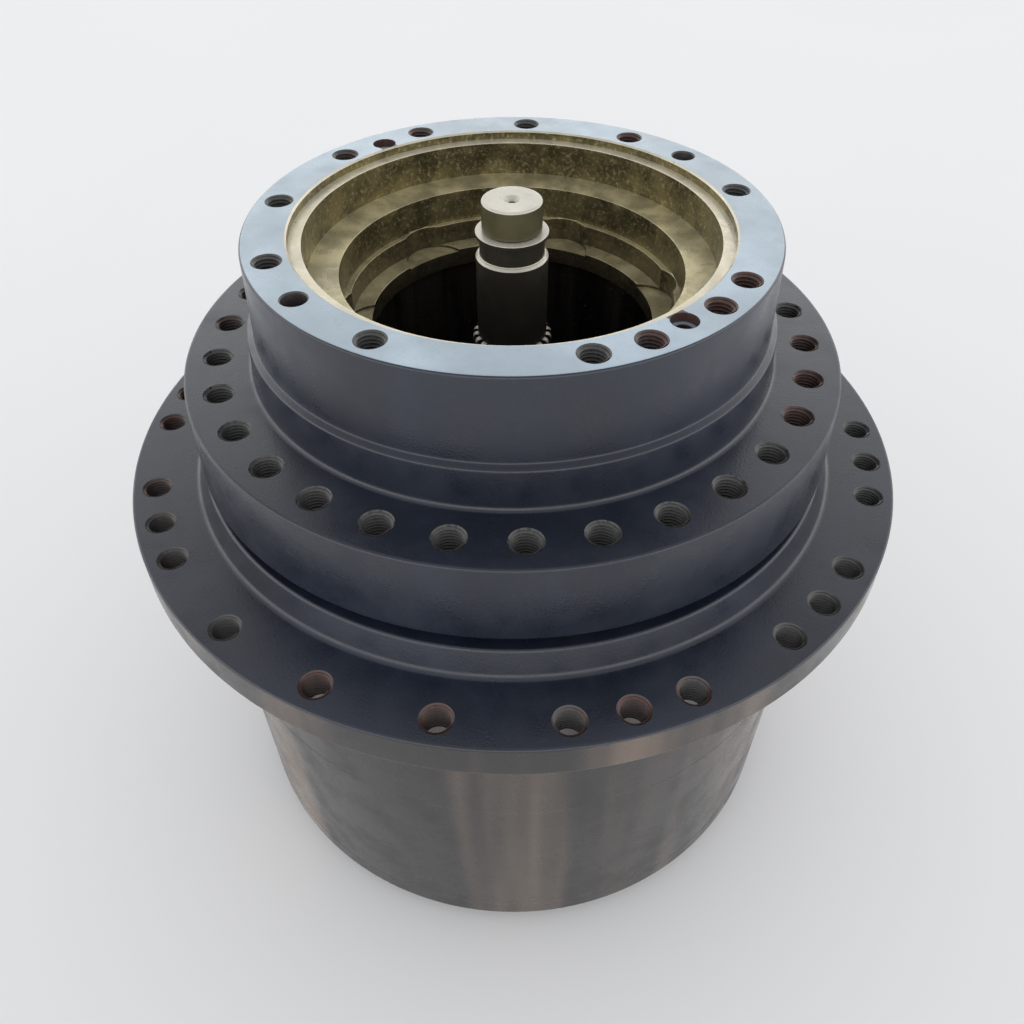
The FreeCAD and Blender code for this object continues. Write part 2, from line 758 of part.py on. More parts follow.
def make_drum_hub():
    foot_radius = sprocket_flange_radius + sprocket_flange_draft
    pocket_top = upper_bearing_foot - hub_shoulder_width
    pocket_foot = lower_bearing_top + hub_shoulder_width
    floor = collar_top - hub_floor_drop
    spigot_radius = ring_bore_radius - spigot_gap
    body = turned(
        (seal_bore_radius, collar_top),
        (collar_top_radius - edge_chamfer, collar_top),
        (collar_top_radius, collar_top - edge_chamfer),
        (collar_foot_radius, sprocket_face, collar_fillet),
        (sprocket_flange_radius - edge_chamfer, sprocket_face),
        (sprocket_flange_radius, sprocket_face - edge_chamfer),
        (foot_radius, sprocket_foot + edge_chamfer),
        (foot_radius - edge_chamfer, sprocket_foot),
        (drum_radius, sprocket_foot, sprocket_fillet),
        (drum_radius, hub_end + seam_chamfer),
        (drum_radius - seam_chamfer, hub_end),
        (spigot_radius, hub_end),
        (spigot_radius, hub_end - hub_spigot_height),
        (spigot_radius - hub_spigot_wall, hub_end - hub_spigot_height),
        (hub_mouth_radius, hub_end + hub_mouth_depth),
        (bearing_outer_radius, hub_end + hub_mouth_depth),
        (bearing_outer_radius, lower_bearing_top),
        (hub_shoulder_radius, lower_bearing_top),
        (hub_shoulder_radius, pocket_foot),
        (hub_pocket_radius, pocket_foot, sprocket_fillet),
        (hub_pocket_radius, pocket_top, sprocket_fillet),
        (hub_shoulder_radius, pocket_top),
        (hub_shoulder_radius, upper_bearing_foot),
        (bearing_outer_radius, upper_bearing_foot),
        (bearing_outer_radius, floor),
        (seal_bore_radius, floor, foot_fillet),
    )
    sprocket = rods(
        sprocket_bolt_radius, sprocket_face, sprocket_foot, placed(sprocket_bolt_circle, sprocket_angles())
    )
    bolts = rods(long_bolt_radius, hub_end + long_bolt_grip, hub_end, long_bolt_places())
    dowels = rods(dowel_radius, hub_end + dowel_length / 2, hub_end, dowel_places())
    groove = ring(
        o_ring_circle - o_ring_width / 2, o_ring_circle + o_ring_width / 2,
        hub_end + o_ring_width - o_ring_squeeze, hub_end,
    )
    return cut_all(body, sprocket + bolts + dowels + [groove])


def long_bolt_places():
    return placed(long_bolt_circle, evenly(long_bolt_count))


def dowel_places():
    return placed(long_bolt_circle, evenly(dowel_count, 180 / long_bolt_count))


def cover_bolt_places():
    return placed(cover_bolt_circle, evenly(cover_bolt_count, 180 / long_bolt_count))


def make_ring_gear():
    blank = turned(
        (ring_bore_radius, hub_end),
        (drum_radius - seam_chamfer, hub_end),
        (drum_radius, hub_end - seam_chamfer),
        (drum_radius, ring_gear_foot + seam_chamfer),
        (drum_radius - seam_chamfer, ring_gear_foot),
        (ring_bore_radius, ring_gear_foot),
        (ring_bore_radius, ring_gear_foot + cover_relief),
        (ring_root_radius - root_overlap, ring_gear_foot + cover_relief),
        (ring_tip_radius, ring_gear_foot + cover_relief + dedendum),
        (ring_tip_radius, hub_end - ring_relief - dedendum),
        (ring_root_radius - root_overlap, hub_end - ring_relief),
        (ring_bore_radius, hub_end - ring_relief),
    )
    outline = toothed_outline(
        ring_teeth, ring_tip_radius - root_overlap, ring_root_radius, -tooth_thinning, 0.0
    )
    spaces = Part.Face(outline).extrude(Vector(0, 0, ring_gear_length))
    spaces.translate(Vector(0, 0, ring_gear_foot))
    hole = long_bolt_radius + bolt_hole_gap
    sink = ring_gear_foot + long_head_height + head_sink_gap
    tools = [spaces]
    tools += rods(hole, hub_end, ring_gear_foot, long_bolt_places())
    tools += rods(long_head_radius + head_sink_gap, sink, ring_gear_foot, long_bolt_places())
    tools += rods(dowel_radius, hub_end, hub_end - dowel_length / 2, dowel_places())
    tools += rods(
        cover_bolt_radius, ring_gear_foot + cover_bolt_grip, ring_gear_foot, cover_bolt_places()
    )
    return cut_all(blank, tools)


def make_long_bolts():
    """Socket-head bolts from the ring gear's foot up into the hub."""
    head_foot = ring_gear_foot + head_sink_gap
    head_top = head_foot + long_head_height
    shank_top = hub_end + long_bolt_grip - thread_end_gap
    bolts = []
    for place in long_bolt_places():
        shank = rods(long_bolt_radius - seat_gap, shank_top, head_top, [place])[0]
        head = rods(long_head_radius, head_top, head_foot, [place])[0]
        socket = prism(6, hex_corner(long_hex_width), head_foot + long_head_height / 2, head_foot, place)
        bolts.append(shank.fuse(head).cut(socket))
    return bolts


def make_dowels():
    reach = dowel_length / 2 - dowel_end_gap
    return rods(dowel_radius - seat_gap, hub_end + reach, hub_end - reach, dowel_places())


def make_cover():
    spigot_radius = ring_bore_radius - spigot_gap
    body = turned(
        (0, cover_floor),
        (cover_cavity_radius, cover_floor, cover_fillet),
        (cover_cavity_radius, ring_gear_foot + cover_spigot_height),
        (spigot_radius, ring_gear_foot + cover_spigot_height),
        (spigot_radius, ring_gear_foot),
        (drum_radius - seam_chamfer, ring_gear_foot),
        (drum_radius, ring_gear_foot - seam_chamfer),
        (drum_radius, cover_rim_foot + edge_chamfer),
        (drum_radius - edge_chamfer, cover_rim_foot),
        (cover_dome_radius, cover_rim_foot, cover_fillet),
        (cover_dome_top_radius, cover_face, cover_fillet),
        (cover_foot_radius + cover_foot_height, cover_face),
        (cover_foot_radius, cover_foot),
        (0, cover_foot),
    )
    tools = rods(cover_bolt_radius + bolt_hole_gap, ring_gear_foot, cover_rim_foot, cover_bolt_places())
    tools += rods(plug_radius, cover_floor, cover_face, plug_places())
    tools += thrust_screws(thrust_screw_radius, thrust_screw_length)
    return cut_all(body, tools)


def make_cover_bolts():
    shank_top = ring_gear_foot + cover_bolt_grip - thread_end_gap
    bolts = []
    for place in cover_bolt_places():
        shank = rods(cover_bolt_radius - seat_gap, shank_top, cover_rim_foot, [place])
        head = prism(6, cover_head_radius, cover_rim_foot, cover_rim_foot - cover_head_height, place)
        bolts.append(shank[0].fuse(head))
    return bolts


def plug_places():
    return placed(plug_circle, evenly(plug_count, 90))


def make_plugs():
    """Filling, level and drain plugs with hexagon sockets."""
    head_top = cover_face - washer_thickness
    head_foot = head_top - plug_head_height
    plugs = []
    for place in plug_places():
        stem = rods(plug_radius - seat_gap, cover_floor - thread_end_gap, head_top, [place])[0]
        head = rods(plug_head_radius, head_top, head_foot, [place])[0]
        socket = prism(6, hex_corner(plug_socket_width), head_foot + plug_socket_depth, head_foot, place)
        plugs.append(stem.fuse(head).cut(socket))
    return plugs


def make_plug_washers():
    washers = []
    for place in plug_places():
        washer = ring(plug_radius, plug_head_radius, cover_face, cover_face - washer_thickness)
        washer.translate(place)
        washers.append(washer)
    return washers


def thrust_screws(radius, length):
    places = placed(thrust_screw_circle, evenly(thrust_screw_count, 90))
    return rods(radius, thrust_plate_top, thrust_plate_top - length, places)


def make_thrust_plate():
    plate = ring(0, thrust_plate_radius, thrust_plate_top, cover_floor)
    return cut_all(plate, thrust_screws(thrust_screw_radius, thrust_screw_length))


def square_ring(foot):
    """A rubber ring pressed square in its groove."""
    inner = o_ring_circle - o_ring_width / 2 + toric_gap
    outer = o_ring_circle + o_ring_width / 2 - toric_gap
    return ring(inner, outer, foot + o_ring_width - o_ring_squeeze, foot)


def seal_half(sign):
    """A hard seal ring and its rubber ring, above (1) or below (-1) the plane where the faces run."""
    face = seal_plane + sign * running_gap
    outer = seal_ring_bore + seal_face_width
    metal = turned(
        (seal_ring_bore, face),
        (outer, face),
        (outer, face + sign * seal_face_height),
        (seal_waist_radius, face + sign * (seal_face_height + seal_flank)),
        (seal_waist_radius, face + sign * seal_ring_height),
        (seal_ring_bore, face + sign * seal_ring_height),
    )
    foot = face + sign * (seal_face_height + toric_seat)
    top = foot + sign * toric_height
    rubber = turned(
        (seal_waist_radius + toric_gap, foot + sign * toric_bulge),
        (seal_waist_radius + toric_gap + toric_bulge, foot),
        (seal_bore_radius - toric_gap - toric_bulge, foot),
        (seal_bore_radius - toric_gap, foot + sign * toric_bulge),
        (seal_bore_radius - toric_gap, top - sign * toric_bulge),
        (seal_bore_radius - toric_gap - toric_bulge, top),
        (seal_waist_radius + toric_gap + toric_bulge, top),
        (seal_waist_radius + toric_gap, top - sign * toric_bulge),
    )
    return metal, rubber


# ================================================================ planet carriers
def planet_places(count, circle, first):
    return placed(circle, evenly(count, first))


def carrier_cage(places, tip_radius, start, high_plate, low_plate, end):
    """Two plates joined by posts: a disc with room for the planets cut out between the plates."""
    body = ring(0, carrier_radius, start, end)
    rooms = rods(tip_radius + planet_pocket_gap, high_plate, low_plate, places)
    rooms.append(ring(0, carrier_core_radius, high_plate, low_plate))
    return cut_all(body, rooms)


def keepers(radius, circle, pin_radius, height, angles):
    """Spring pins pushed in from the carrier's rim to hold the planet pins."""
    pins = []
    inner = circle + pin_radius - keeper_bite
    length = carrier_radius - keeper_inset - inner
    for angle in angles:
        start = on_circle(inner, angle, height)
        pins.append(Part.makeCylinder(radius, length, start, on_circle(1, angle)))
    return pins


def rim_holes(radius, circle, pin_radius, height, angles):
    """Holes that take the spring pins, open at the carrier's rim."""
    holes = []
    inner = circle + pin_radius - keeper_bite - keeper_hole_reserve
    length = carrier_radius + keeper_hole_break - inner
    for angle in angles:
        start = on_circle(inner, angle, height)
        holes.append(Part.makeCylinder(radius, length, start, on_circle(1, angle)))
    return holes


def bushes(count, circle, first, pin_radius, top, foot):
    """Bronze bushes pressed into the planets."""
    made = []
    for place in planet_places(count, circle, first):
        bush = ring(pin_radius + running_gap, pin_radius + bush_wall - seat_gap, top, foot)
        bush.translate(place)
        made.append(bush)
    return made


def thrust_washers(places, pin_radius, outer, thickness, high_plate, low_plate):
    """One washer under the upper plate and one on the lower plate, at each pin."""
    washers = []
    for place in places:
        for top in (high_plate, low_plate + thickness):
            washer = ring(pin_radius + seat_gap, outer, top, top - thickness)
            washer.translate(place)
            washers.append(washer)
    return washers


def make_stage_two():
    """The carrier that is bolted to the spindle, with its pins, keepers, washers and bolts."""
    angles = evenly(stage_two_planets, first_planet_two_angle)
    places = planet_places(stage_two_planets, planet_two_circle, first_planet_two_angle)
    tip_radius = tip_of(planet_two_teeth)
    sun_tip = tip_of(sun_two_teeth)
    high_plate = spindle_end - carrier_two_top
    keeper_height = carrier_two_low_plate - carrier_two_foot / 2
    cage = carrier_cage(
        places, tip_radius, spindle_end, high_plate, carrier_two_low_plate, carrier_two_end
    )
    head_sink = high_plate + carrier_bolt_head_height + head_sink_gap
    tools = rods(pin_two_radius, spindle_end, carrier_two_end, places)
    tools.append(ring(0, carrier_two_bore, spindle_end, high_plate))
    tools.append(ring(0, sun_tip + sun_way_gap, carrier_two_low_plate, carrier_two_end))
    tools += rods(carrier_bolt_radius + carrier_bolt_gap, spindle_end, high_plate, carrier_bolt_places())
    tools += rods(
        carrier_bolt_head_radius + head_sink_gap, head_sink, high_plate, carrier_bolt_places()
    )
    tools += rods(
        carrier_dowel_radius, spindle_end, spindle_end - carrier_dowel_length / 2, carrier_dowel_places()
    )
    holes = rim_holes(keeper_two_radius, planet_two_circle, pin_two_radius, keeper_height, angles)
    save("stage_two_carrier", cut_all(cage, tools + holes))

    pins = rods(
        pin_two_radius - seat_gap, spindle_end - pin_recess, carrier_two_end + pin_recess, places
    )
    save("stage_two_pins", *[pin.cut(hole) for pin, hole in zip(pins, holes)])
    save("stage_two_pin_keepers", *keepers(
        keeper_two_radius - seat_gap, planet_two_circle, pin_two_radius, keeper_height, angles
    ))
    save("stage_two_thrust_washers", *thrust_washers(
        places, pin_two_radius, washer_two_radius, washer_two_thickness, high_plate, carrier_two_low_plate
    ))
    bolts = []
    head_foot = head_sink - carrier_bolt_head_height
    shank_top = spindle_end + carrier_bolt_grip - thread_end_gap
    socket_corner = hex_corner(carrier_bolt_hex_width)
    for place in carrier_bolt_places():
        shank = rods(carrier_bolt_radius - seat_gap, shank_top, head_sink, [place])[0]
        head = rods(carrier_bolt_head_radius, head_sink, head_foot, [place])[0]
        socket = prism(6, socket_corner, head_foot + carrier_bolt_socket, head_foot, place)
        bolts.append(shank.fuse(head).cut(socket))
    save("carrier_bolts", *bolts)
    save("carrier_dowels", *rods(
        carrier_dowel_radius - seat_gap,
        spindle_end + carrier_dowel_length / 2 - dowel_end_gap,
        spindle_end - carrier_dowel_length / 2 + dowel_end_gap,
        carrier_dowel_places(),
    ))

    made = bushes(
        stage_two_planets, planet_two_circle, first_planet_two_angle, pin_two_radius,
        planet_two_top, planet_two_foot,
    )
    for number, angle in enumerate(angles, 1):
        gear = planet_gear(
            planet_two_teeth, planet_two_top, planet_two_foot, pin_two_radius + bush_wall,
            planet_two_circle, angle,
        )
        save(f"stage_two_planet_{number}", gear)
        save(f"stage_two_bush_{number}", made[number - 1])


def make_stage_one():
    """The turning carrier with its planets, and the second-stage sun splined into its hub."""
    angles = evenly(stage_one_planets, first_planet_one_angle)
    places = planet_places(stage_one_planets, planet_one_circle, first_planet_one_angle)
    tip_radius = tip_of(planet_one_teeth)
    keeper_height = carrier_one_low_plate - carrier_one_foot / 2
    sun_phase = sun_turn(first_planet_two_angle, planet_two_teeth, sun_two_teeth)
    sun_foot = carrier_one_high_plate + snap_ring_thickness + snap_ring_room
    cage = carrier_cage(
        places, tip_radius, carrier_one_start, carrier_one_high_plate, carrier_one_low_plate,
        carrier_one_end,
    )
    spline = Part.Face(toothed_outline(
        sun_two_teeth,
        root_of(sun_two_teeth) + spline_gap,
        tip_of(sun_two_teeth) + spline_gap,
        tooth_thinning - 2 * spline_gap,
        sun_phase,
    )).extrude(Vector(0, 0, carrier_one_top))
    spline.translate(Vector(0, 0, carrier_one_high_plate))
    tools = rods(pin_one_radius, carrier_one_start, carrier_one_end, places)
    tools.append(spline)
    tools.append(ring(0, snap_ring_radius + seat_gap, sun_foot, carrier_one_high_plate))
    tools.append(ring(0, carrier_one_bore, carrier_one_low_plate, carrier_one_end))
    holes = rim_holes(keeper_one_radius, planet_one_circle, pin_one_radius, keeper_height, angles)
    save("stage_one_carrier", cut_all(cage, tools + holes))

    pins = rods(
        pin_one_radius - seat_gap, carrier_one_start - pin_recess, carrier_one_end + pin_recess, places
    )
    save("stage_one_pins", *[pin.cut(hole) for pin, hole in zip(pins, holes)])
    save("stage_one_pin_keepers", *keepers(
        keeper_one_radius - seat_gap, planet_one_circle, pin_one_radius, keeper_height, angles
    ))
    save("stage_one_thrust_washers", *thrust_washers(
        places, pin_one_radius, washer_one_radius, washer_one_thickness,
        carrier_one_high_plate, carrier_one_low_plate,
    ))
    save("sun_gear_two", external_gear(sun_two_teeth, planet_two_top, sun_foot, sun_phase, sun_two_bore))
    snap_top = sun_foot - snap_ring_lift
    snap = ring(snap_ring_bore, snap_ring_radius, snap_top, snap_top - snap_ring_thickness)
    save("sun_two_snap_ring", snap)

    made = bushes(
        stage_one_planets, planet_one_circle, first_planet_one_angle, pin_one_radius,
        planet_one_top, planet_one_foot,
    )
    for number, angle in enumerate(angles, 1):
        gear = planet_gear(
            planet_one_teeth, planet_one_top, planet_one_foot, pin_one_radius + bush_wall,
            planet_one_circle, angle,
        )
        save(f"stage_one_planet_{number}", gear)
        save(f"stage_one_bush_{number}", made[number - 1])


# ================================================================ input shaft
def shaft_blank(heights):
    """The turned form of the shaft, from the journal at its top to the seat of the first sun."""
    journal_foot, groove_foot, collar_foot, neck_foot, body_foot, spline_foot = heights
    return turned(
        (0, shaft_top),
        (journal_radius - journal_chamfer, shaft_top),
        (journal_radius, shaft_top - journal_chamfer),
        (journal_radius, journal_foot),
        (groove_radius, journal_foot),
        (groove_radius, groove_foot),
        (collar_radius, groove_foot),
        (collar_radius, collar_foot),
        (shaft_neck_radius, collar_foot),
        (shaft_neck_radius, neck_foot + body_chamfer),
        (body_radius - body_chamfer, neck_foot + body_chamfer),
        (body_radius, neck_foot),
        (body_radius, spline_foot),
        (stem_radius, spline_foot - spline_run_out),
        (stem_radius, sun_one_top + seat_lead),
        (sun_seat_radius, sun_one_top),
        (sun_seat_radius, shaft_foot),
        (0, shaft_foot),
    )


def make_input_shaft():
    journal_foot = shaft_top - journal_length
    groove_foot = journal_foot - groove_width
    collar_foot = groove_foot - collar_width
    neck_foot = collar_foot - shaft_neck_length
    body_foot = neck_foot - body_length
    spline_foot = body_foot - spline_length
    shaft = shaft_blank((journal_foot, groove_foot, collar_foot, neck_foot, body_foot, spline_foot))
    spline = turned(
        (body_radius - spline_overlap, body_foot),
        (body_radius, body_foot),
        (spline_tip_radius, body_foot - spline_lead),
        (spline_tip_radius, spline_foot),
        (body_radius - spline_overlap, spline_foot),
    )
    half_space = 180.0 / spline_teeth
    mouth_radius = spline_tip_radius + gap_overrun
    gaps = []
    for angle in evenly(spline_teeth, half_space):
        corners = [
            on_circle(body_radius, angle - half_space * gap_foot_share, spline_foot),
            on_circle(mouth_radius, angle - half_space * gap_mouth_share, spline_foot),
            on_circle(mouth_radius, angle + half_space * gap_mouth_share, spline_foot),
            on_circle(body_radius, angle + half_space * gap_foot_share, spline_foot),
        ]
        outline = Part.makePolygon(corners + corners[:1])
        gaps.append(Part.Face(outline).extrude(Vector(0, 0, spline_length)))
    shaft = shaft.fuse(cut_all(spline, gaps))
    centre = [
        Part.makeCylinder(centre_hole_radius, centre_hole_depth, Vector(0, 0, shaft_top - centre_hole_depth)),
        Part.makeCone(
            centre_hole_radius, centre_sink_radius, centre_sink_depth,
            Vector(0, 0, shaft_top - centre_sink_depth),
        ),
        Part.makeCylinder(button_stem_radius, button_stem_length, Vector(0, 0, shaft_foot)),
    ]
    return cut_all(shaft, centre)


def make_input_parts():
    save("input_shaft", make_input_shaft())
    phase = sun_turn(first_planet_one_angle, planet_one_teeth, sun_one_teeth)
    save("sun_gear_one", external_gear(
        sun_one_teeth, sun_one_top, sun_one_foot, phase, sun_seat_radius + seat_gap
    ))
    head_foot = thrust_plate_top + free_gap
    button = ring(0, button_radius, shaft_foot, head_foot)
    stem_top = shaft_foot + button_stem_length - button_stem_gap
    stem = ring(0, button_stem_radius - seat_gap, stem_top, shaft_foot)
    save("thrust_button", button.fuse(stem))
    tail_foot = sun_one_foot - tail_ring_thickness
    tail = ring(sun_seat_radius + seat_gap, tail_ring_radius, sun_one_foot, tail_foot)
    save("sun_one_snap_ring", tail)


# ================================================================ the whole drive
def make_all():
    os.makedirs("parts", exist_ok=True)
    save("spindle", make_spindle())
    save("bearing_nut", make_bearing_nut())
    save("bearing_nut_screws", *nut_screws(nut_screw_radius - seat_gap, 0))

    for name, top, upright in (
        ("upper_bearing", upper_bearing_top, True),
        ("lower_bearing", lower_bearing_top, False),
    ):
        inner, outer, cage, rollers = bearing_parts(top, upright)
        save(name + "_inner_ring", inner)
        save(name + "_outer_ring", outer)
        save(name + "_cage", cage)
        save(name + "_rollers", *rollers)

    for name, sign in (("spindle_seal", 1), ("hub_seal", -1)):
        metal, rubber = seal_half(sign)
        save(name + "_ring", metal)
        save(name + "_rubber", rubber)

    save("drum_hub", make_drum_hub())
    save("hub_o_ring", square_ring(hub_end))
    save("ring_gear", make_ring_gear())
    save("ring_gear_bolts", *make_long_bolts())
    save("ring_gear_dowels", *make_dowels())
    save("end_cover", make_cover())
    save("cover_bolts", *make_cover_bolts())
    save("oil_plugs", *make_plugs())
    save("plug_washers", *make_plug_washers())
    save("thrust_plate", make_thrust_plate())
    screw_length = thrust_screw_length - thrust_screw_gap
    save("thrust_plate_screws", *thrust_screws(thrust_screw_radius - seat_gap, screw_length))

    make_stage_two()
    make_stage_one()
    make_input_parts()


make_all()
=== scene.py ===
import json
import math

import bmesh
import bpy
from mathutils import Matrix, Vector


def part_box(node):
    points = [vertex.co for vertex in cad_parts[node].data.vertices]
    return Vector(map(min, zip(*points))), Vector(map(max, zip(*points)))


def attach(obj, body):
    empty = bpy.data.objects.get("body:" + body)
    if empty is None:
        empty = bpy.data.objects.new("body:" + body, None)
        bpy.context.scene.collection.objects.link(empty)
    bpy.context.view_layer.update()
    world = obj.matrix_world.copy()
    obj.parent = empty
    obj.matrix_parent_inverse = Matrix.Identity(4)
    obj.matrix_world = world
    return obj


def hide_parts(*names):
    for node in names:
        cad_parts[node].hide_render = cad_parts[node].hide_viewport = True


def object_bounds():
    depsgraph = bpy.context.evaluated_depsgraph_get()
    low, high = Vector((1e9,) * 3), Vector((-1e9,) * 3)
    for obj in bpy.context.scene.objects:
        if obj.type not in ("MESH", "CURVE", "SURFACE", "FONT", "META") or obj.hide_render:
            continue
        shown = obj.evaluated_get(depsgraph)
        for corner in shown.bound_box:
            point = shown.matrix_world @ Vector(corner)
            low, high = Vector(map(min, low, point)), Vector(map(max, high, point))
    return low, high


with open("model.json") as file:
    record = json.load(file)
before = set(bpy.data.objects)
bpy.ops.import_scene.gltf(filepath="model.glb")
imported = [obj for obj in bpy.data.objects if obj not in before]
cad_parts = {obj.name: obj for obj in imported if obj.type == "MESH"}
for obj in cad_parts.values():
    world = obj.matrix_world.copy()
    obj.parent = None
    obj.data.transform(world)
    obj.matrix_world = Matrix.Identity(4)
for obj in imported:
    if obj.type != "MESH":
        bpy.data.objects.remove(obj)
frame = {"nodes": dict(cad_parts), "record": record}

bl_info = {
    "name": "Excavator final drive",
    "version": (1, 0, 0),
    "blender": (4, 5, 0),
    "location": "View3D > Sidebar > Final drive",
    "description": "Dresses the packed final drive with detailed castings, threads and finishes",
    "category": "Object",
}

MM = 0.001
CAD_BOX = [list(corner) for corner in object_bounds()]
MOUNTS = {mount["name"]: mount for mount in frame["record"]["mounts"]}
HAIR = 0.1 * MM             # tolerance when a face is picked by its height
TURN_STEPS = 216
SHAFT_STEPS = 96
POCKET_STEPS = 72
HOLE_STEPS = 32
SMALL_HOLE_STEPS = 24
RIDGE_STEPS = 20            # steps in one turn of thread


# ---------------------------------------------------------------- property helpers
def length(name, description, millimetres):
    return bpy.props.FloatProperty(
        name=name, description=description, default=millimetres * MM,
        min=0.0, subtype="DISTANCE", unit="LENGTH", precision=4,
    )


def height(name, description, millimetres):
    return bpy.props.FloatProperty(
        name=name, description=description, default=millimetres * MM,
        subtype="DISTANCE", unit="LENGTH", precision=4,
    )


def colour(name, description, red, green, blue):
    return bpy.props.FloatVectorProperty(
        name=name, description=description, default=(red, green, blue),
        size=3, min=0.0, max=1.0, subtype="COLOR",
    )


def reach(node):
    """Largest radius of a round node about the main axis."""
    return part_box(node)[1].x


def foot(node):
    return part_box(node)[0].z


def top(node):
    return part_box(node)[1].z


# ---------------------------------------------------------------- sizes and colours
class SpindleSizes(bpy.types.PropertyGroup):
    edge: length("Edge rounding", "Rounding of the flange edges", 1.6)
    fillet: length("Fillet", "Rounding of the inner corners", 3.0)
    face_radius: length("Motor face radius", "Outer radius of the motor face", 178.0)
    flange_height: length("Motor flange height", "Height of the motor flange", 58.0)
    flange_foot_radius: length("Motor flange foot", "Radius at the flange's foot", 180.5)
    neck_radius: length("Neck radius", "Radius where the neck starts", 185.0)
    neck_lead: length("Neck lead", "Slope from the flange to the neck", 2.0)
    neck_foot_radius: length("Neck foot", "Radius of the neck at the frame face", 187.0)
    frame_radius: length("Frame flange radius", "Radius at the frame face", 234.0)
    frame_thickness: length("Frame flange thickness", "Height of the frame flange", 58.2)
    seal_bore: length("Seal bore", "Radius of the seal's seat", 220.0)
    seal_depth: length("Seal depth", "Depth of the seal's seat", 17.0)
    seal_neck: length("Seal neck", "Radius inside the seal", 188.0)
    seal_neck_end: height("Seal neck end", "Height where the seal's neck ends", -158.8)
    shoulder: length("Bearing shoulder", "Radius above the upper bearing", 154.0)
    shoulder_foot: height("Shoulder foot", "Height of the upper bearing's seat", -178.0)
    bearing_seat: length("Bearing seat", "Radius of the bearing seats", 140.0)
    thread_top: height("Nut thread top", "Height where the nut's thread starts", -310.0)
    nut_thread: length("Nut thread", "Radius of the nut's thread", 138.0)
    oil_bore: length("Oil bore", "Radius of the long bore", 106.0)
    throat: length("Throat", "Radius of the throat", 100.6)
    throat_depth: length("Throat depth", "Depth of the throat's foot", 87.0)
    throat_flare: length("Throat flare", "Height of the throat's flare", 3.0)
    lip: length("Lip", "Radius of the pocketed lip", 114.0)
    lip_depth: length("Lip depth", "Depth of the ledge under the lip", 70.5)
    chamber: length("Chamber", "Radius of the chamber", 118.5)
    chamber_depth: length("Chamber depth", "Depth of the chamber's floor", 55.0)
    ledge_slope: length("Ledge slope", "Fall of the ledge into the chamber", 1.8)
    pilot: length("Pilot", "Radius of the motor's pilot bore", 139.5)
    pilot_depth: length("Pilot depth", "Depth of the pilot bore", 30.0)
    seat: length("Seat", "Radius of the seal recess", 148.0)
    seat_depth: length("Seat depth", "Depth of the seal recess", 6.0)
    pocket_circle: length("Pocket circle", "Circle of the lip's pockets", 96.0)
    pocket_radius: length("Pocket radius", "Radius of each pocket", 23.0)
    pocket_floor: length("Pocket floor", "Depth of the pockets under the ledge", 1.8)


class HoleSizes(bpy.types.PropertyGroup):
    chamfer: length("Mouth chamfer", "Chamfer at the mouth of a threaded hole", 0.9)
    break_edge: length("Broken edge", "Chamfer of the dowel holes and pockets", 0.2)
    pitch: length("Thread pitch", "Rise of one turn of thread", 2.5)
    crest: length("Thread height", "Height of the thread's ridges", 1.25)
    motor_bolt: length("Motor bolt hole", "Radius of the motor's threaded holes", 9.0)
    motor_bolt_circle: length("Motor bolt circle", "Circle of the motor's holes", 162.3)
    motor_depth: length("Motor hole depth", "Depth of the motor's holes", 42.0)
    motor_plain: length("Plain hole", "Radius of the two plain holes", 8.0)
    dowel_circle: length("Dowel circle", "Circle of the two dowel holes", 158.0)
    dowel: length("Dowel hole", "Radius of the dowel holes", 5.5)
    dowel_depth: length("Dowel depth", "Depth of the dowel holes", 22.0)
    dowel_sink: length("Dowel sink", "Radius of the dowel holes' sink", 8.5)
    dowel_sink_depth: length("Dowel sink depth", "Depth of the sink", 6.0)
    frame_depth: length("Frame hole depth", "Depth of the frame flange's holes", 36.0)


class DrumSizes(bpy.types.PropertyGroup):
    edge: length("Edge rounding", "Rounding of the sprocket flange's edges", 1.6)
    fillet: length("Fillet", "Rounding under the sprocket flange", 5.0)
    collar_fillet: length("Collar fillet", "Rounding at the foot of the collar", 3.0)
    collar_radius: length("Collar radius", "Radius at the top of the collar", 236.4)
    collar_foot: length("Collar foot", "Radius at the foot of the collar", 243.8)
    face: height("Sprocket face", "Height of the sprocket face", -176.2)
    flange_foot: height("Sprocket foot", "Height of the flange's lower face", -202.0)
    flange_radius: length("Sprocket flange radius", "Radius at the sprocket face", 293.0)
    seam: length("Seam chamfer", "Chamfer where two drum pieces meet", 0.8)
    end: height("Hub end", "Height of the joint with the ring gear", -332.0)
    spigot: length("Spigot radius", "Radius of the spigot in the ring gear", 203.95)
    spigot_wall: length("Spigot wall", "Wall of the spigot", 17.0)
    mouth: length("Mouth radius", "Radius of the lower mouth", 186.0)
    mouth_depth: length("Mouth depth", "Depth of the lower mouth", 14.0)
    bearing: length("Bearing bore", "Radius of the bearing seats", 180.0)
    bearing_foot: height("Lower seat", "Height of the lower bearing's seat", -272.0)
    shoulder: length("Shoulder radius", "Radius of the bearing shoulders", 168.0)
    pocket_foot: height("Pocket foot", "Lowest height of the oil pocket", -260.0)
    pocket_top: height("Pocket top", "Highest height of the oil pocket", -228.0)
    pocket: length("Pocket radius", "Radius of the oil pocket", 200.0)
    bearing_top: height("Upper seat", "Height of the upper bearing's seat", -216.0)
    seal_floor: height("Seal floor", "Height of the seal seat's floor", -172.0)
    seal_bore: length("Seal bore", "Radius of the seal's seat", 220.0)


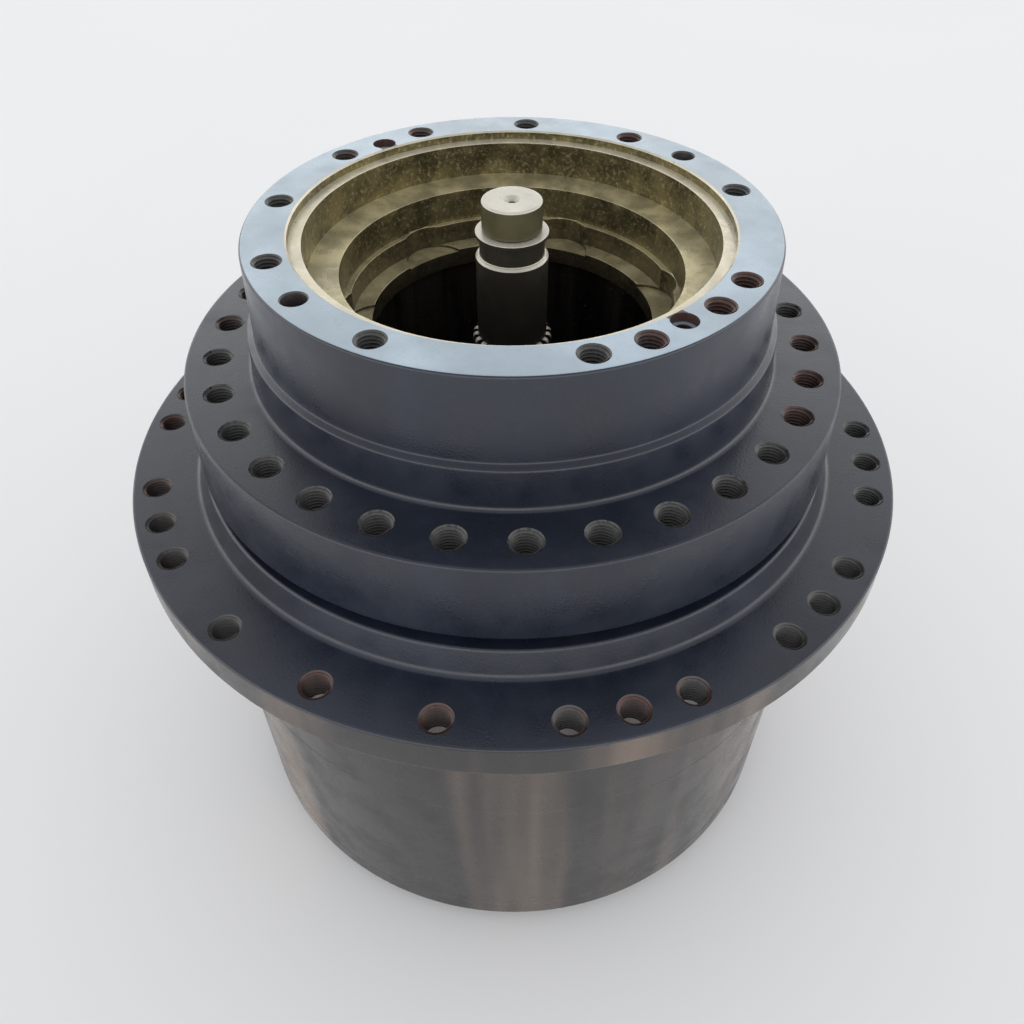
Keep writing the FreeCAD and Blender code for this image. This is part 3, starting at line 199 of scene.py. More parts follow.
class CoverSizes(bpy.types.PropertyGroup):
    rim_foot: height("Rim foot", "Height of the rim's lower face", -514.0)
    dome_radius: length("Dome radius", "Radius at the dome's start", 212.0)
    dome_top: length("Dome face radius", "Radius of the dome's face", 200.0)
    face: height("Cover face", "Height of the dome's face", -528.0)
    foot_radius: length("Foot radius", "Radius of the raised foot", 120.0)
    fillet: length("Fillet", "Rounding of the dome", 4.0)
    cavity: length("Cavity radius", "Radius of the cavity", 196.0)
    floor: height("Cavity floor", "Height of the cavity's floor", -512.0)
    bolt_circle: length("Cover bolt circle", "Circle of the cover's bolts", 234.0)
    bolt_radius: length("Cover bolt radius", "Radius of the bolts' shanks", 8.0)
    bolt_gap: length("Bolt gap", "Room round a bolt's shank", 1.0)
    bolt_chamfer: length("Bolt hole chamfer", "Chamfer of the bolt holes", 0.3)
    plug_circle: length("Plug circle", "Circle of the three plugs", 160.0)
    plug_radius: length("Plug radius", "Radius of the plug holes", 12.0)
    head_radius: length("Head radius", "Radius across the head's corners", 13.8)
    head_height: length("Head height", "Height of the bolts' heads", 10.0)
    bolt_count: bpy.props.IntProperty(name="Cover bolts", description="Number of bolts", default=12)


class ShaftSizes(bpy.types.PropertyGroup):
    journal: length("Journal radius", "Radius of the upper journal", 20.5)
    journal_length: length("Journal length", "Length of the journal", 19.7)
    journal_rounding: length("Journal rounding", "Rounding of the journal's rim", 1.6)
    groove: length("Groove radius", "Radius of the groove's floor", 19.0)
    groove_width: length("Groove width", "Width of the groove", 1.6)
    collar: length("Collar radius", "Radius of the collar", 25.0)
    collar_width: length("Collar width", "Width of the collar", 3.0)
    neck: length("Neck radius", "Radius of the neck", 22.3)
    neck_length: length("Neck length", "Length of the neck", 15.2)
    chamfer: length("Body chamfer", "Chamfer at the top of the body", 1.4)
    body_length: length("Body length", "Length of the body", 60.5)
    spline_length: length("Spline length", "Length of the spline", 62.0)
    spline_lead: length("Spline lead", "Length of the teeth's rounded start", 3.6)
    spline_teeth: bpy.props.IntProperty(name="Spline teeth", description="Number of teeth", default=22)
    run_out: length("Run-out", "Slope from the spline down to the stem", 3.0)
    seat_lead: length("Seat lead", "Slope down to the sun's seat", 2.0)
    stem: length("Stem radius", "Radius of the long stem", 22.0)
    seat: length("Sun seat radius", "Radius under the first sun gear", 17.0)
    seat_top: height("Sun seat top", "Height of the sun's seat", -458.5)
    centre: length("Centre hole", "Radius of the centre hole", 3.0)
    centre_depth: length("Centre depth", "Depth of the centre hole", 12.0)
    sink: length("Centre sink", "Radius of the centre hole's sink", 5.5)
    sink_depth: length("Sink depth", "Depth of the sink", 3.0)


class Colours(bpy.types.PropertyGroup):
    paint: colour("Housing paint", "Slate blue enamel", 0.011, 0.015, 0.026)
    face: colour("Motor face", "Pale coat of the machined motor face", 0.33, 0.41, 0.47)
    drum: colour("Drum paint", "Darker enamel of the drum", 0.012, 0.010, 0.010)
    # Drum stain is painted reflection: warm streaks that stand for reflected surroundings on the drum.
    drum_reflection_bands: colour("Drum stain", "Warm staining on the drum", 0.17, 0.125, 0.092)
    # Bore ledges and walls are one oiled bare metal in lit and shaded copies: painted light on the
    # up-facing ledges, painted shade on the walls.
    lit_ledge: colour("Bore ledges", "Oiled bare metal facing up", 0.42, 0.37, 0.22)
    shaded_wall: colour("Bore walls", "Oiled bare metal walls", 0.12, 0.10, 0.045)
    # Oily bore: a dark oil film made near-black as painted shade of the deep bore.
    oil_and_shade: colour("Oily bore", "Dark wall of the oil bore", 0.012, 0.010, 0.009)
    shaft: colour("Shaft", "Dark oiled shaft", 0.028, 0.025, 0.020)
    journal: colour("Journal", "Olive film on the journal", 0.11, 0.10, 0.055)
    journal_dark: colour("Journal stain", "Dark patches on the journal", 0.045, 0.04, 0.02)
    # Bright steel is bare steel, also used as painted highlight on the shaft's up-facing faces and the
    # bore's upper ledges.
    bright: colour("Bright edges", "Bare bright steel", 0.56, 0.53, 0.45)
    gear: colour("Gear steel", "Hardened gear steel", 0.32, 0.31, 0.30)
    iron: colour("Carrier iron", "Cast iron of the carriers", 0.13, 0.13, 0.13)
    bronze: colour("Bronze", "Bushes and thrust washers", 0.48, 0.26, 0.09)
    bearing: colour("Bearing steel", "Ground bearing steel", 0.52, 0.52, 0.53)
    rubber: colour("Rubber", "Seal rubber", 0.014, 0.014, 0.015)
    bolt: colour("Bolts", "Blackened bolts", 0.035, 0.034, 0.036)
    rust: colour("Thread rust", "Rust film in some threads", 0.07, 0.022, 0.014)
    floor: colour("Floor", "Pale studio floor", 0.80, 0.80, 0.80)


class Settings(bpy.types.PropertyGroup):
    spindle: bpy.props.PointerProperty(type=SpindleSizes, name="Spindle", description="Spindle sizes")
    holes: bpy.props.PointerProperty(type=HoleSizes, name="Holes", description="Hole sizes")
    drum: bpy.props.PointerProperty(type=DrumSizes, name="Drum", description="Drum sizes")
    cover: bpy.props.PointerProperty(type=CoverSizes, name="Cover", description="Cover sizes")
    shaft: bpy.props.PointerProperty(type=ShaftSizes, name="Shaft", description="Shaft sizes")
    colours: bpy.props.PointerProperty(type=Colours, name="Colours", description="Colours")


def settings():
    return bpy.context.scene.final_drive


# ---------------------------------------------------------------- finishes
class Finish:
    """A material whose nodes are added one short call at a time."""

    def __init__(self, name, metallic=0.0, ior=1.5):
        self.material = bpy.data.materials.new(name)
        self.material.use_nodes = True
        self.tree = self.material.node_tree
        self.shader = self.tree.nodes["Principled BSDF"]
        self.shader.inputs["Metallic"].default_value = metallic
        self.shader.inputs["IOR"].default_value = ior
        self.place = self.node("ShaderNodeTexCoord").outputs["Object"]

    def node(self, kind, **settings):
        made = self.tree.nodes.new(kind)
        for key, value in settings.items():
            setattr(made, key, value)
        return made

    def feed(self, socket, value):
        if isinstance(value, bpy.types.NodeSocket):
            self.tree.links.new(value, socket)
        elif isinstance(value, (int, float)):
            socket.default_value = value
        elif len(value) == 3 and socket.type == "RGBA":
            socket.default_value = (*value, 1.0)
        else:
            socket.default_value = value

    def math(self, operation, first, second=0.0, third=0.0):
        made = self.node("ShaderNodeMath", operation=operation)
        for socket, value in zip(made.inputs, (first, second, third)):
            self.feed(socket, value)
        return made.outputs[0]

    def vector(self, operation, first, second):
        made = self.node("ShaderNodeVectorMath", operation=operation)
        self.feed(made.inputs[0], first)
        self.feed(made.inputs[1], second)
        return made.outputs["Value" if operation == "LENGTH" else "Vector"]

    def split(self, vector):
        made = self.node("ShaderNodeSeparateXYZ")
        self.feed(made.inputs[0], vector)
        return made.outputs

    def radius(self):
        flat = self.vector("MULTIPLY", self.place, (1, 1, 0))
        return self.vector("LENGTH", flat, (0, 0, 0))

    def lathe(self):
        """Radius and height as coordinates, for rings left by turning."""
        made = self.node("ShaderNodeCombineXYZ")
        self.feed(made.inputs[0], self.radius())
        self.feed(made.inputs[2], self.split(self.place)[2])
        return made.outputs[0]

    def stretched(self, vector, stretch):
        return self.vector("MULTIPLY", vector, stretch)

    def noise(self, scale, detail=2.0, roughness=0.5, vector=None):
        made = self.node("ShaderNodeTexNoise")
        self.feed(made.inputs["Vector"], self.place if vector is None else vector)
        made.inputs["Scale"].default_value = scale
        made.inputs["Detail"].default_value = detail
        made.inputs["Roughness"].default_value = roughness
        return made.outputs[0]

    def cells(self, scale, vector=None):
        made = self.node("ShaderNodeTexVoronoi")
        self.feed(made.inputs["Vector"], self.place if vector is None else vector)
        made.inputs["Scale"].default_value = scale
        return made.outputs["Distance"]

    def band(self, value, low, high, start=0.0, end=1.0):
        """Value brought from low..high to start..end, with soft ends."""
        made = self.node("ShaderNodeMapRange", interpolation_type="SMOOTHSTEP")
        for socket, entry in zip(made.inputs, (value, low, high, start, end)):
            self.feed(socket, entry)
        return made.outputs[0]

    def blend(self, share, first, second, kind="MIX"):
        made = self.node("ShaderNodeMix", data_type="RGBA", blend_type=kind)
        self.feed(made.inputs[0], share)
        self.feed(made.inputs[6], first)
        self.feed(made.inputs[7], second)
        return made.outputs[2]

    def bump(self, relief, depth, strength=1.0, below=None):
        made = self.node("ShaderNodeBump")
        made.inputs["Strength"].default_value = strength
        made.inputs["Distance"].default_value = depth
        self.feed(made.inputs["Height"], relief)
        if below is not None:
            self.feed(made.inputs["Normal"], below)
        return made.outputs[0]

    # Mask of the up-facing faces, used to paint light onto tops.
    def lit_from_above(self):
        normal = self.split(self.node("ShaderNodeNewGeometry").outputs["Normal"])[2]
        return self.band(normal, 0.35, 0.75)

    def finish(self, base, roughness, normal=None):
        self.feed(self.shader.inputs["Base Color"], base)
        self.feed(self.shader.inputs["Roughness"], roughness)
        if normal is not None:
            self.feed(self.shader.inputs["Normal"], normal)
        return self.material


def tint(value, share):
    """A colour made lighter or darker by a share."""
    return tuple(min(1.0, channel * share) for channel in value)


def made_before(name):
    return bpy.data.materials.get(name)


def enamel(name, base, reflection_tone, reflection_share, rough=0.28):
    """Semi-gloss paint on a casting: orange peel, fine specks, light scuffs, soft tone variation and
    painted reflection bands that run up and down.
    """
    if made_before(name):
        return made_before(name)
    f = Finish(name, ior=1.6)
    broad = f.noise(7.0, 3.0, 0.6)
    # Streaks of a second tone that run up and down: painted reflection bands.
    reflection_bands = f.noise(1.0, 3.0, 0.55, f.stretched(f.place, (11.0, 11.0, 0.7)))
    tone = f.blend(f.band(broad, 0.35, 0.68), tint(base, 0.82), tint(base, 1.25))
    tone = f.blend(f.math("MULTIPLY", f.band(reflection_bands, 0.47, 0.72), reflection_share), tone, reflection_tone)
    specks = f.band(f.cells(520.0), 0.16, 0.04)
    chosen = f.band(f.noise(60.0, 2.0), 0.50, 0.62)
    specks = f.math("MULTIPLY", specks, chosen)
    tone = f.blend(f.math("MULTIPLY", specks, 0.35), tone, tint(base, 5.0))
    dust = f.band(f.noise(240.0, 6.0, 0.75), 0.52, 0.78)
    tone = f.blend(f.math("MULTIPLY", dust, 0.22), tone, tint(base, 3.2))
    roughness = f.band(f.noise(28.0, 4.0, 0.6), 0.3, 0.75, rough - 0.05, rough + 0.14)
    peel = f.bump(f.noise(700.0, 2.0, 0.5), 0.0002, 0.5)
    normal = f.bump(f.noise(46.0, 2.0), 0.0005, 0.1, peel)
    return f.finish(tone, roughness, normal)


def machined(name, base, dark, rough=0.32, metallic=0.85, ring_scale=900.0, ring_share=0.35):
    """Turned or ground metal: fine tool rings, oil stains and worn patches."""
    if made_before(name):
        return made_before(name)
    f = Finish(name, metallic=metallic)
    rings = f.noise(ring_scale, 2.0, 0.5, f.lathe())
    broad = f.noise(18.0, 4.0, 0.6)
    fine = f.noise(300.0, 4.0, 0.7)
    tone = f.blend(f.band(broad, 0.35, 0.7), dark, base)
    tone = f.blend(f.math("MULTIPLY", rings, ring_share), tone, tint(base, 1.35))
    tone = f.blend(f.math("MULTIPLY", f.band(fine, 0.55, 0.75), 0.3), tone, tint(dark, 0.6))
    roughness = f.band(f.noise(60.0, 4.0, 0.6), 0.3, 0.75, rough - 0.08, rough + 0.15)
    normal = f.bump(rings, 0.00012, 0.45)
    normal = f.bump(fine, 0.0001, 0.3, normal)
    return f.finish(tone, roughness, normal)


def cast(name, base, rough=0.55, metallic=0.0, grain=520.0, depth=0.0004):
    """Rough cast or moulded surface: grain, pits and uneven tone."""
    if made_before(name):
        return made_before(name)
    f = Finish(name, metallic=metallic)
    grain_noise = f.noise(grain, 5.0, 0.65)
    broad = f.noise(22.0, 4.0, 0.6)
    tone = f.blend(f.band(broad, 0.3, 0.7), tint(base, 0.65), tint(base, 1.3))
    tone = f.blend(f.math("MULTIPLY", f.band(grain_noise, 0.5, 0.7), 0.35), tone, tint(base, 1.9))
    roughness = f.band(f.noise(90.0, 3.0), 0.3, 0.7, rough - 0.1, rough + 0.12)
    return f.finish(tone, roughness, f.bump(grain_noise, depth, 0.6))


def motor_face():
    """Pale coat on the machined face round the bore."""
    name = "Motor face"
    if made_before(name):
        return made_before(name)
    base = settings().colours.face
    f = Finish(name, metallic=0.15, ior=1.6)
    broad = f.noise(11.0, 4.0, 0.6)
    tone = f.blend(f.band(broad, 0.35, 0.7), tint(base, 0.84), tint(base, 1.16))
    fine = f.noise(260.0, 6.0, 0.75)
    tone = f.blend(f.math("MULTIPLY", f.band(fine, 0.5, 0.7), 0.22), tone, tint(base, 0.55))
    specks = f.band(f.cells(330.0), 0.15, 0.03)
    specks = f.math("MULTIPLY", specks, f.band(f.noise(45.0, 2.0), 0.55, 0.65))
    tone = f.blend(f.math("MULTIPLY", specks, 0.5), tone, tint(base, 0.3))
    rings = f.noise(700.0, 2.0, 0.5, f.lathe())
    roughness = f.band(f.noise(40.0, 4.0, 0.6), 0.3, 0.75, 0.24, 0.42)
    normal = f.bump(rings, 0.00008, 0.35)
    return f.finish(tone, roughness, f.bump(fine, 0.0001, 0.3, normal))


def bore_metal():
    """Bare oiled metal of the bore, with painted light: pale on the up-facing ledges and brighter near the
    mouth, olive on the walls and darker with depth as painted shade.
    """
    name = "Bore metal"
    if made_before(name):
        return made_before(name)
    colours = settings().colours
    sizes = settings().spindle
    f = Finish(name, metallic=0.55)
    level = f.split(f.place)[2]
    wobble = f.noise(26.0, 4.0, 0.65)
    depth = f.math("MULTIPLY_ADD", wobble, 0.016, level)
    depth = f.math("SUBTRACT", depth, 0.008)
    sand = f.band(f.noise(330.0, 6.0, 0.8), 0.50, 0.66)
    blotch = f.band(f.noise(34.0, 5.0, 0.65), 0.36, 0.64)
    shaded_wall = f.blend(blotch, tint(colours.shaded_wall, 0.6), tint(colours.shaded_wall, 1.5))
    shaded_wall = f.blend(f.math("MULTIPLY", sand, 0.55), shaded_wall, tint(colours.lit_ledge, 1.25))
    # Walls mix toward the near-black bore tone with depth: painted shade.
    depth_shade = f.band(depth, -sizes.chamber_depth * 0.7, -sizes.throat_depth)
    shaded_wall = f.blend(f.math("MULTIPLY", depth_shade, 0.8), shaded_wall, tint(colours.oil_and_shade, 2.2))
    lit_ledge = f.blend(blotch, tint(colours.lit_ledge, 0.75), tint(colours.lit_ledge, 1.35))
    # Ledges near the mouth mix toward bright steel: painted highlight.
    high = f.band(level, -sizes.pilot_depth * 0.5, -sizes.seat_depth)
    lit_ledge = f.blend(f.math("MULTIPLY", high, 0.6), lit_ledge, tint(colours.bright, 1.2))
    # Up-facing faces take the pale tone, walls the olive tone: painted light and shade.
    tone = f.blend(f.lit_from_above(), shaded_wall, lit_ledge)
    rings = f.noise(800.0, 2.0, 0.5, f.lathe())
    roughness = f.band(f.noise(70.0, 4.0, 0.6), 0.3, 0.75, 0.24, 0.5)
    normal = f.bump(rings, 0.00012, 0.5)
    return f.finish(tone, roughness, f.bump(sand, 0.0001, 0.35, normal))


def oily_bore():
    """Near-black wall of the oil bore: a wet oil film, darkened further as painted shade of the deep bore,
    with painted reflection bands up and down it and bright specks.
    """
    name = "Oily bore"
    if made_before(name):
        return made_before(name)
    base = settings().colours.oil_and_shade
    f = Finish(name, metallic=0.2)
    # Faint lighter bands that run up and down: painted reflections on the wet wall.
    reflection_runs = f.noise(1.0, 4.0, 0.6, f.stretched(f.place, (34.0, 34.0, 2.5)))
    tone = f.blend(f.band(reflection_runs, 0.4, 0.7), tint(base, 0.5), tint(base, 2.4))
    specks = f.math("MULTIPLY", f.band(f.cells(210.0), 0.14, 0.03), f.band(f.noise(30.0, 2.0), 0.56, 0.66))
    tone = f.blend(specks, tone, tint(settings().colours.lit_ledge, 0.8))
    roughness = f.band(f.noise(50.0, 4.0, 0.6), 0.3, 0.75, 0.16, 0.42)
    return f.finish(tone, roughness, f.bump(f.noise(180.0, 4.0), 0.0002, 0.4))


def thread_metal():
    """Threads in the castings: dull steel with rust film in some holes."""
    name = "Thread metal"
    if made_before(name):
        return made_before(name)
    colours = settings().colours
    f = Finish(name, metallic=0.15)
    by_hole = f.band(f.noise(9.0, 1.0), 0.50, 0.60)
    grain = f.noise(420.0, 4.0, 0.7)
    steel = f.blend(grain, tint(colours.gear, 0.06), tint(colours.gear, 0.35))
    rust = f.blend(grain, tint(colours.rust, 0.5), tint(colours.rust, 1.6))
    tone = f.blend(f.math("MULTIPLY", by_hole, 0.6), steel, rust)
    return f.finish(tone, f.band(grain, 0.3, 0.7, 0.3, 0.5), f.bump(grain, 0.0001, 0.3))


def drum_paint():
    colours = settings().colours
    # The drum's warm tone goes into vertical streaks: painted reflection bands.
    return enamel("Drum paint", colours.drum, colours.drum_reflection_bands, 0.8, 0.24)


def black_bolts():
    return cast("Black bolts", settings().colours.bolt, 0.38, 0.5, 700.0, 0.0001)


# ---------------------------------------------------------------- shapes
SUPPORT = 0.8 * MM
ARC_STEPS = 5


def outline_mesh(corners):
    """A bmesh face in the XZ plane; each corner is (radius, height[, rounding])."""
    shape = bmesh.new()
    rounded = []
    points = [Vector((corner[0], 0, corner[1])) for corner in corners]
    made = []
    for number, corner in enumerate(corners):
        rounding = corner[2] if len(corner) > 2 else 0.0
        here = points[number]
        before = points[number - 1]
        after = points[(number + 1) % len(points)]
        hold = rounding + SUPPORT
        if rounding and (before - here).length > 2.2 * hold:
            made.append(shape.verts.new(here + (before - here).normalized() * hold))
        vertex = shape.verts.new(here)
        made.append(vertex)
        if rounding:
            rounded.append((vertex, rounding))
        if rounding and (after - here).length > 2.2 * hold:
            made.append(shape.verts.new(here + (after - here).normalized() * hold))
    shape.faces.new(made)
    for size in sorted({rounding for _, rounding in rounded}):
        chosen = [vertex for vertex, rounding in rounded if rounding == size]
        bmesh.ops.bevel(
            shape, geom=chosen, offset=size, offset_type="OFFSET", segments=ARC_STEPS,
            profile=0.5, affect="VERTICES", clamp_overlap=False, material=-1,
        )
    return shape


def on_axis(edge):
    return all(abs(vertex.co.x) < 1e-7 for vertex in edge.verts)


def spun(corners, steps=TURN_STEPS):
    """The solid of revolution of an outline about Z, as a bmesh."""
    shape = outline_mesh(corners)
    bmesh.ops.delete(shape, geom=shape.faces[:], context="FACES_KEEP_BOUNDARY")
    middle = [edge for edge in shape.edges if on_axis(edge)]
    bmesh.ops.delete(shape, geom=middle, context="EDGES")
    bmesh.ops.spin(
        shape, geom=shape.verts[:] + shape.edges[:], cent=(0, 0, 0), axis=(0, 0, 1),
        dvec=(0, 0, 0), angle=math.tau, steps=steps, use_merge=True,
    )
    bmesh.ops.remove_doubles(shape, verts=shape.verts[:], dist=1e-6)
    bmesh.ops.recalc_face_normals(shape, faces=shape.faces[:])
    return shape


def repeated(shape, places):
    """Copies of everything in the bmesh at each place; the first stays at the first place."""
    source = shape.verts[:] + shape.edges[:] + shape.faces[:]
    start = Vector((0, 0, 0))
    for place in places[1:]:
        copy = bmesh.ops.duplicate(shape, geom=source)["geom"]
        moved = [item for item in copy if isinstance(item, bmesh.types.BMVert)]
        bmesh.ops.translate(shape, vec=Vector(place) - start, verts=moved)
    first = [item for item in source if isinstance(item, bmesh.types.BMVert)]
    bmesh.ops.translate(shape, vec=Vector(places[0]), verts=first)
    return shape


def joined(*shapes):
    """One bmesh that holds every shape."""
    whole = bmesh.new()
    for shape in shapes:
        mesh = bpy.data.meshes.new("part")
        shape.to_mesh(mesh)
        shape.free()
        whole.from_mesh(mesh)
        bpy.data.meshes.remove(mesh)
    return whole


def piece(name, shape):
    mesh = bpy.data.meshes.new(name)
    shape.to_mesh(mesh)
    shape.free()
    made = bpy.data.objects.new(name, mesh)
    bpy.context.scene.collection.objects.link(made)
    return made


def carved(made, cutters):
    """The piece with the cutters' shapes taken out of it."""
    tool = piece("cutter", joined(*cutters))
    cut = made.modifiers.new("holes", "BOOLEAN")
    cut.operation = "DIFFERENCE"
    cut.solver = "EXACT"
    cut.object = tool
    bpy.context.view_layer.update()
    graph = bpy.context.evaluated_depsgraph_get()
    mesh = bpy.data.meshes.new_from_object(made.evaluated_get(graph))
    made.modifiers.remove(cut)
    old = made.data
    made.data = mesh
    mesh.name = made.name
    bpy.data.meshes.remove(old)
    bpy.data.objects.remove(tool)
    return made


def smoothed(made, degrees=32.0):
    made.data.shade_smooth()
    made.data.set_sharp_from_angle(angle=math.radians(degrees))
    return made


def dressed(made, materials, choose=None):
    """Gives the piece its finishes; choose(polygon) says which of them a face has."""
    made.data.materials.clear()
    for material in materials:
        made.data.materials.append(material)
    for polygon in made.data.polygons:
        polygon.material_index = choose(polygon) if choose else 0
    return made


def nearest(point, axes):
    """Distance from a point to the nearest of some upright axes."""
    return min((point.xy - axis).length for axis in axes)


def placed(made, body, slot, *nodes):
    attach(made, body)
    if nodes:
        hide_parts(*nodes)
    return made


def around(circle, degrees, level=0.0):
    turn = math.radians(degrees)
    return Vector((circle * math.cos(turn), circle * math.sin(turn), level))


def drilled(radius, depth, chamfer, places, steps=HOLE_STEPS):
    """Cutters for holes with chamfered mouths at the places."""
    over = 1.0 * MM
    corners = [
        (0, over), (radius + chamfer + over, over), (radius, -chamfer), (radius, -depth), (0, -depth),
    ]
    return repeated(spun(corners, steps), places)


def through(radius, thickness, chamfer, places, steps=HOLE_STEPS):
    """Cutters for through holes, chamfered at both mouths."""
    over = 1.0 * MM
    wide = radius + chamfer + over
    corners = [
        (0, over), (wide, over), (radius, -chamfer), (radius, chamfer - thickness),
        (wide, -thickness - over), (0, -thickness - over),
    ]
    return repeated(spun(corners, steps), places)


def ridges(name, groups, body):
    """Thread ridges for groups of holes: (radius, chamfer, turns, places)."""
    holes = settings().holes
    shapes = []
    for radius, chamfer, turns, places in groups:
        shape = bmesh.new()
        low = -chamfer - turns * holes.pitch
        half = holes.pitch * 0.46
        bury = 0.1 * MM
        corners = [
            shape.verts.new((radius + bury, 0, low - half)),
            shape.verts.new((radius - holes.crest, 0, low - half * 0.14)),
            shape.verts.new((radius - holes.crest, 0, low + half * 0.14)),
            shape.verts.new((radius + bury, 0, low + half)),
        ]
        shape.faces.new(corners)
        bmesh.ops.spin(
            shape, geom=shape.verts[:] + shape.edges[:] + shape.faces[:], cent=(0, 0, 0),
            axis=(0, 0, 1), dvec=(0, 0, holes.pitch / RIDGE_STEPS), angle=math.tau * turns,
            steps=turns * RIDGE_STEPS, use_merge=False,
        )
        bmesh.ops.recalc_face_normals(shape, faces=shape.faces[:])
        shapes.append(repeated(shape, places))
    made = smoothed(piece(name, joined(*shapes)), 50.0)
    dressed(made, [thread_metal()])
    return placed(made, body, "fastener_steel")


# ---------------------------------------------------------------- hole places
MIRROR_LINE = 153.9
MOTOR_ANGLES = (12.1, 42.2, 72.1, 113.1, 157.6, 170.1)
SPROCKET_STEP = 360.0 / 44
SPROCKET_STEPS = (0, 2, 4, 5, 6, 8, 9, 10, 12, 13, 14, 16, 17, 18, 20, 22)
BLIND_THREAD_TURNS = 12
THROUGH_THREAD_TURNS = 9
POCKET_COUNT = 6
PLUG_COUNT = 3


def motor_places():
    circle = settings().holes.motor_bolt_circle
    turns = [MIRROR_LINE + side * angle for angle in MOTOR_ANGLES for side in (1, -1)]
    return [around(circle, turn) for turn in turns]


def plain_places():
    circle = settings().holes.motor_bolt_circle
    return [around(circle, MIRROR_LINE + turn) for turn in (90, -90)]


def dowel_places():
    circle = settings().holes.dowel_circle
    return [around(circle, MIRROR_LINE + turn) for turn in (0, 180)]


def frame_hole():
    return MOUNTS["frame_bolts"]["dims"]["hole_r_mm"] * MM


def sprocket_hole():
    return MOUNTS["sprocket_bolts_00"]["dims"]["hole_r_mm"] * MM


def frame_places():
    mount = MOUNTS["frame_bolts"]
    count = mount["dims"]["count"]
    circle = mount["dims"]["pcd_mm"] / 2 * MM
    return [around(circle, MIRROR_LINE + 360 / count * k, mount["pos_m"][2]) for k in range(count)]


def sprocket_places():
    circle = MOUNTS["sprocket_bolts_00"]["dims"]["spacing_y_mm"] / 2 * MM
    turns = []
    for step in SPROCKET_STEPS:
        turns.append(-90 + step * SPROCKET_STEP)
        if 0 < step < SPROCKET_STEPS[-1]:
            turns.append(-90 - step * SPROCKET_STEP)
    return [around(circle, turn, settings().drum.face) for turn in turns]


def cover_bolt_places(level):
    """Places of the cover's bolts, a quarter of their spacing past X."""
    s = settings().cover
    return [around(s.bolt_circle, 360 / s.bolt_count * (k + 0.25), level) for k in range(s.bolt_count)]


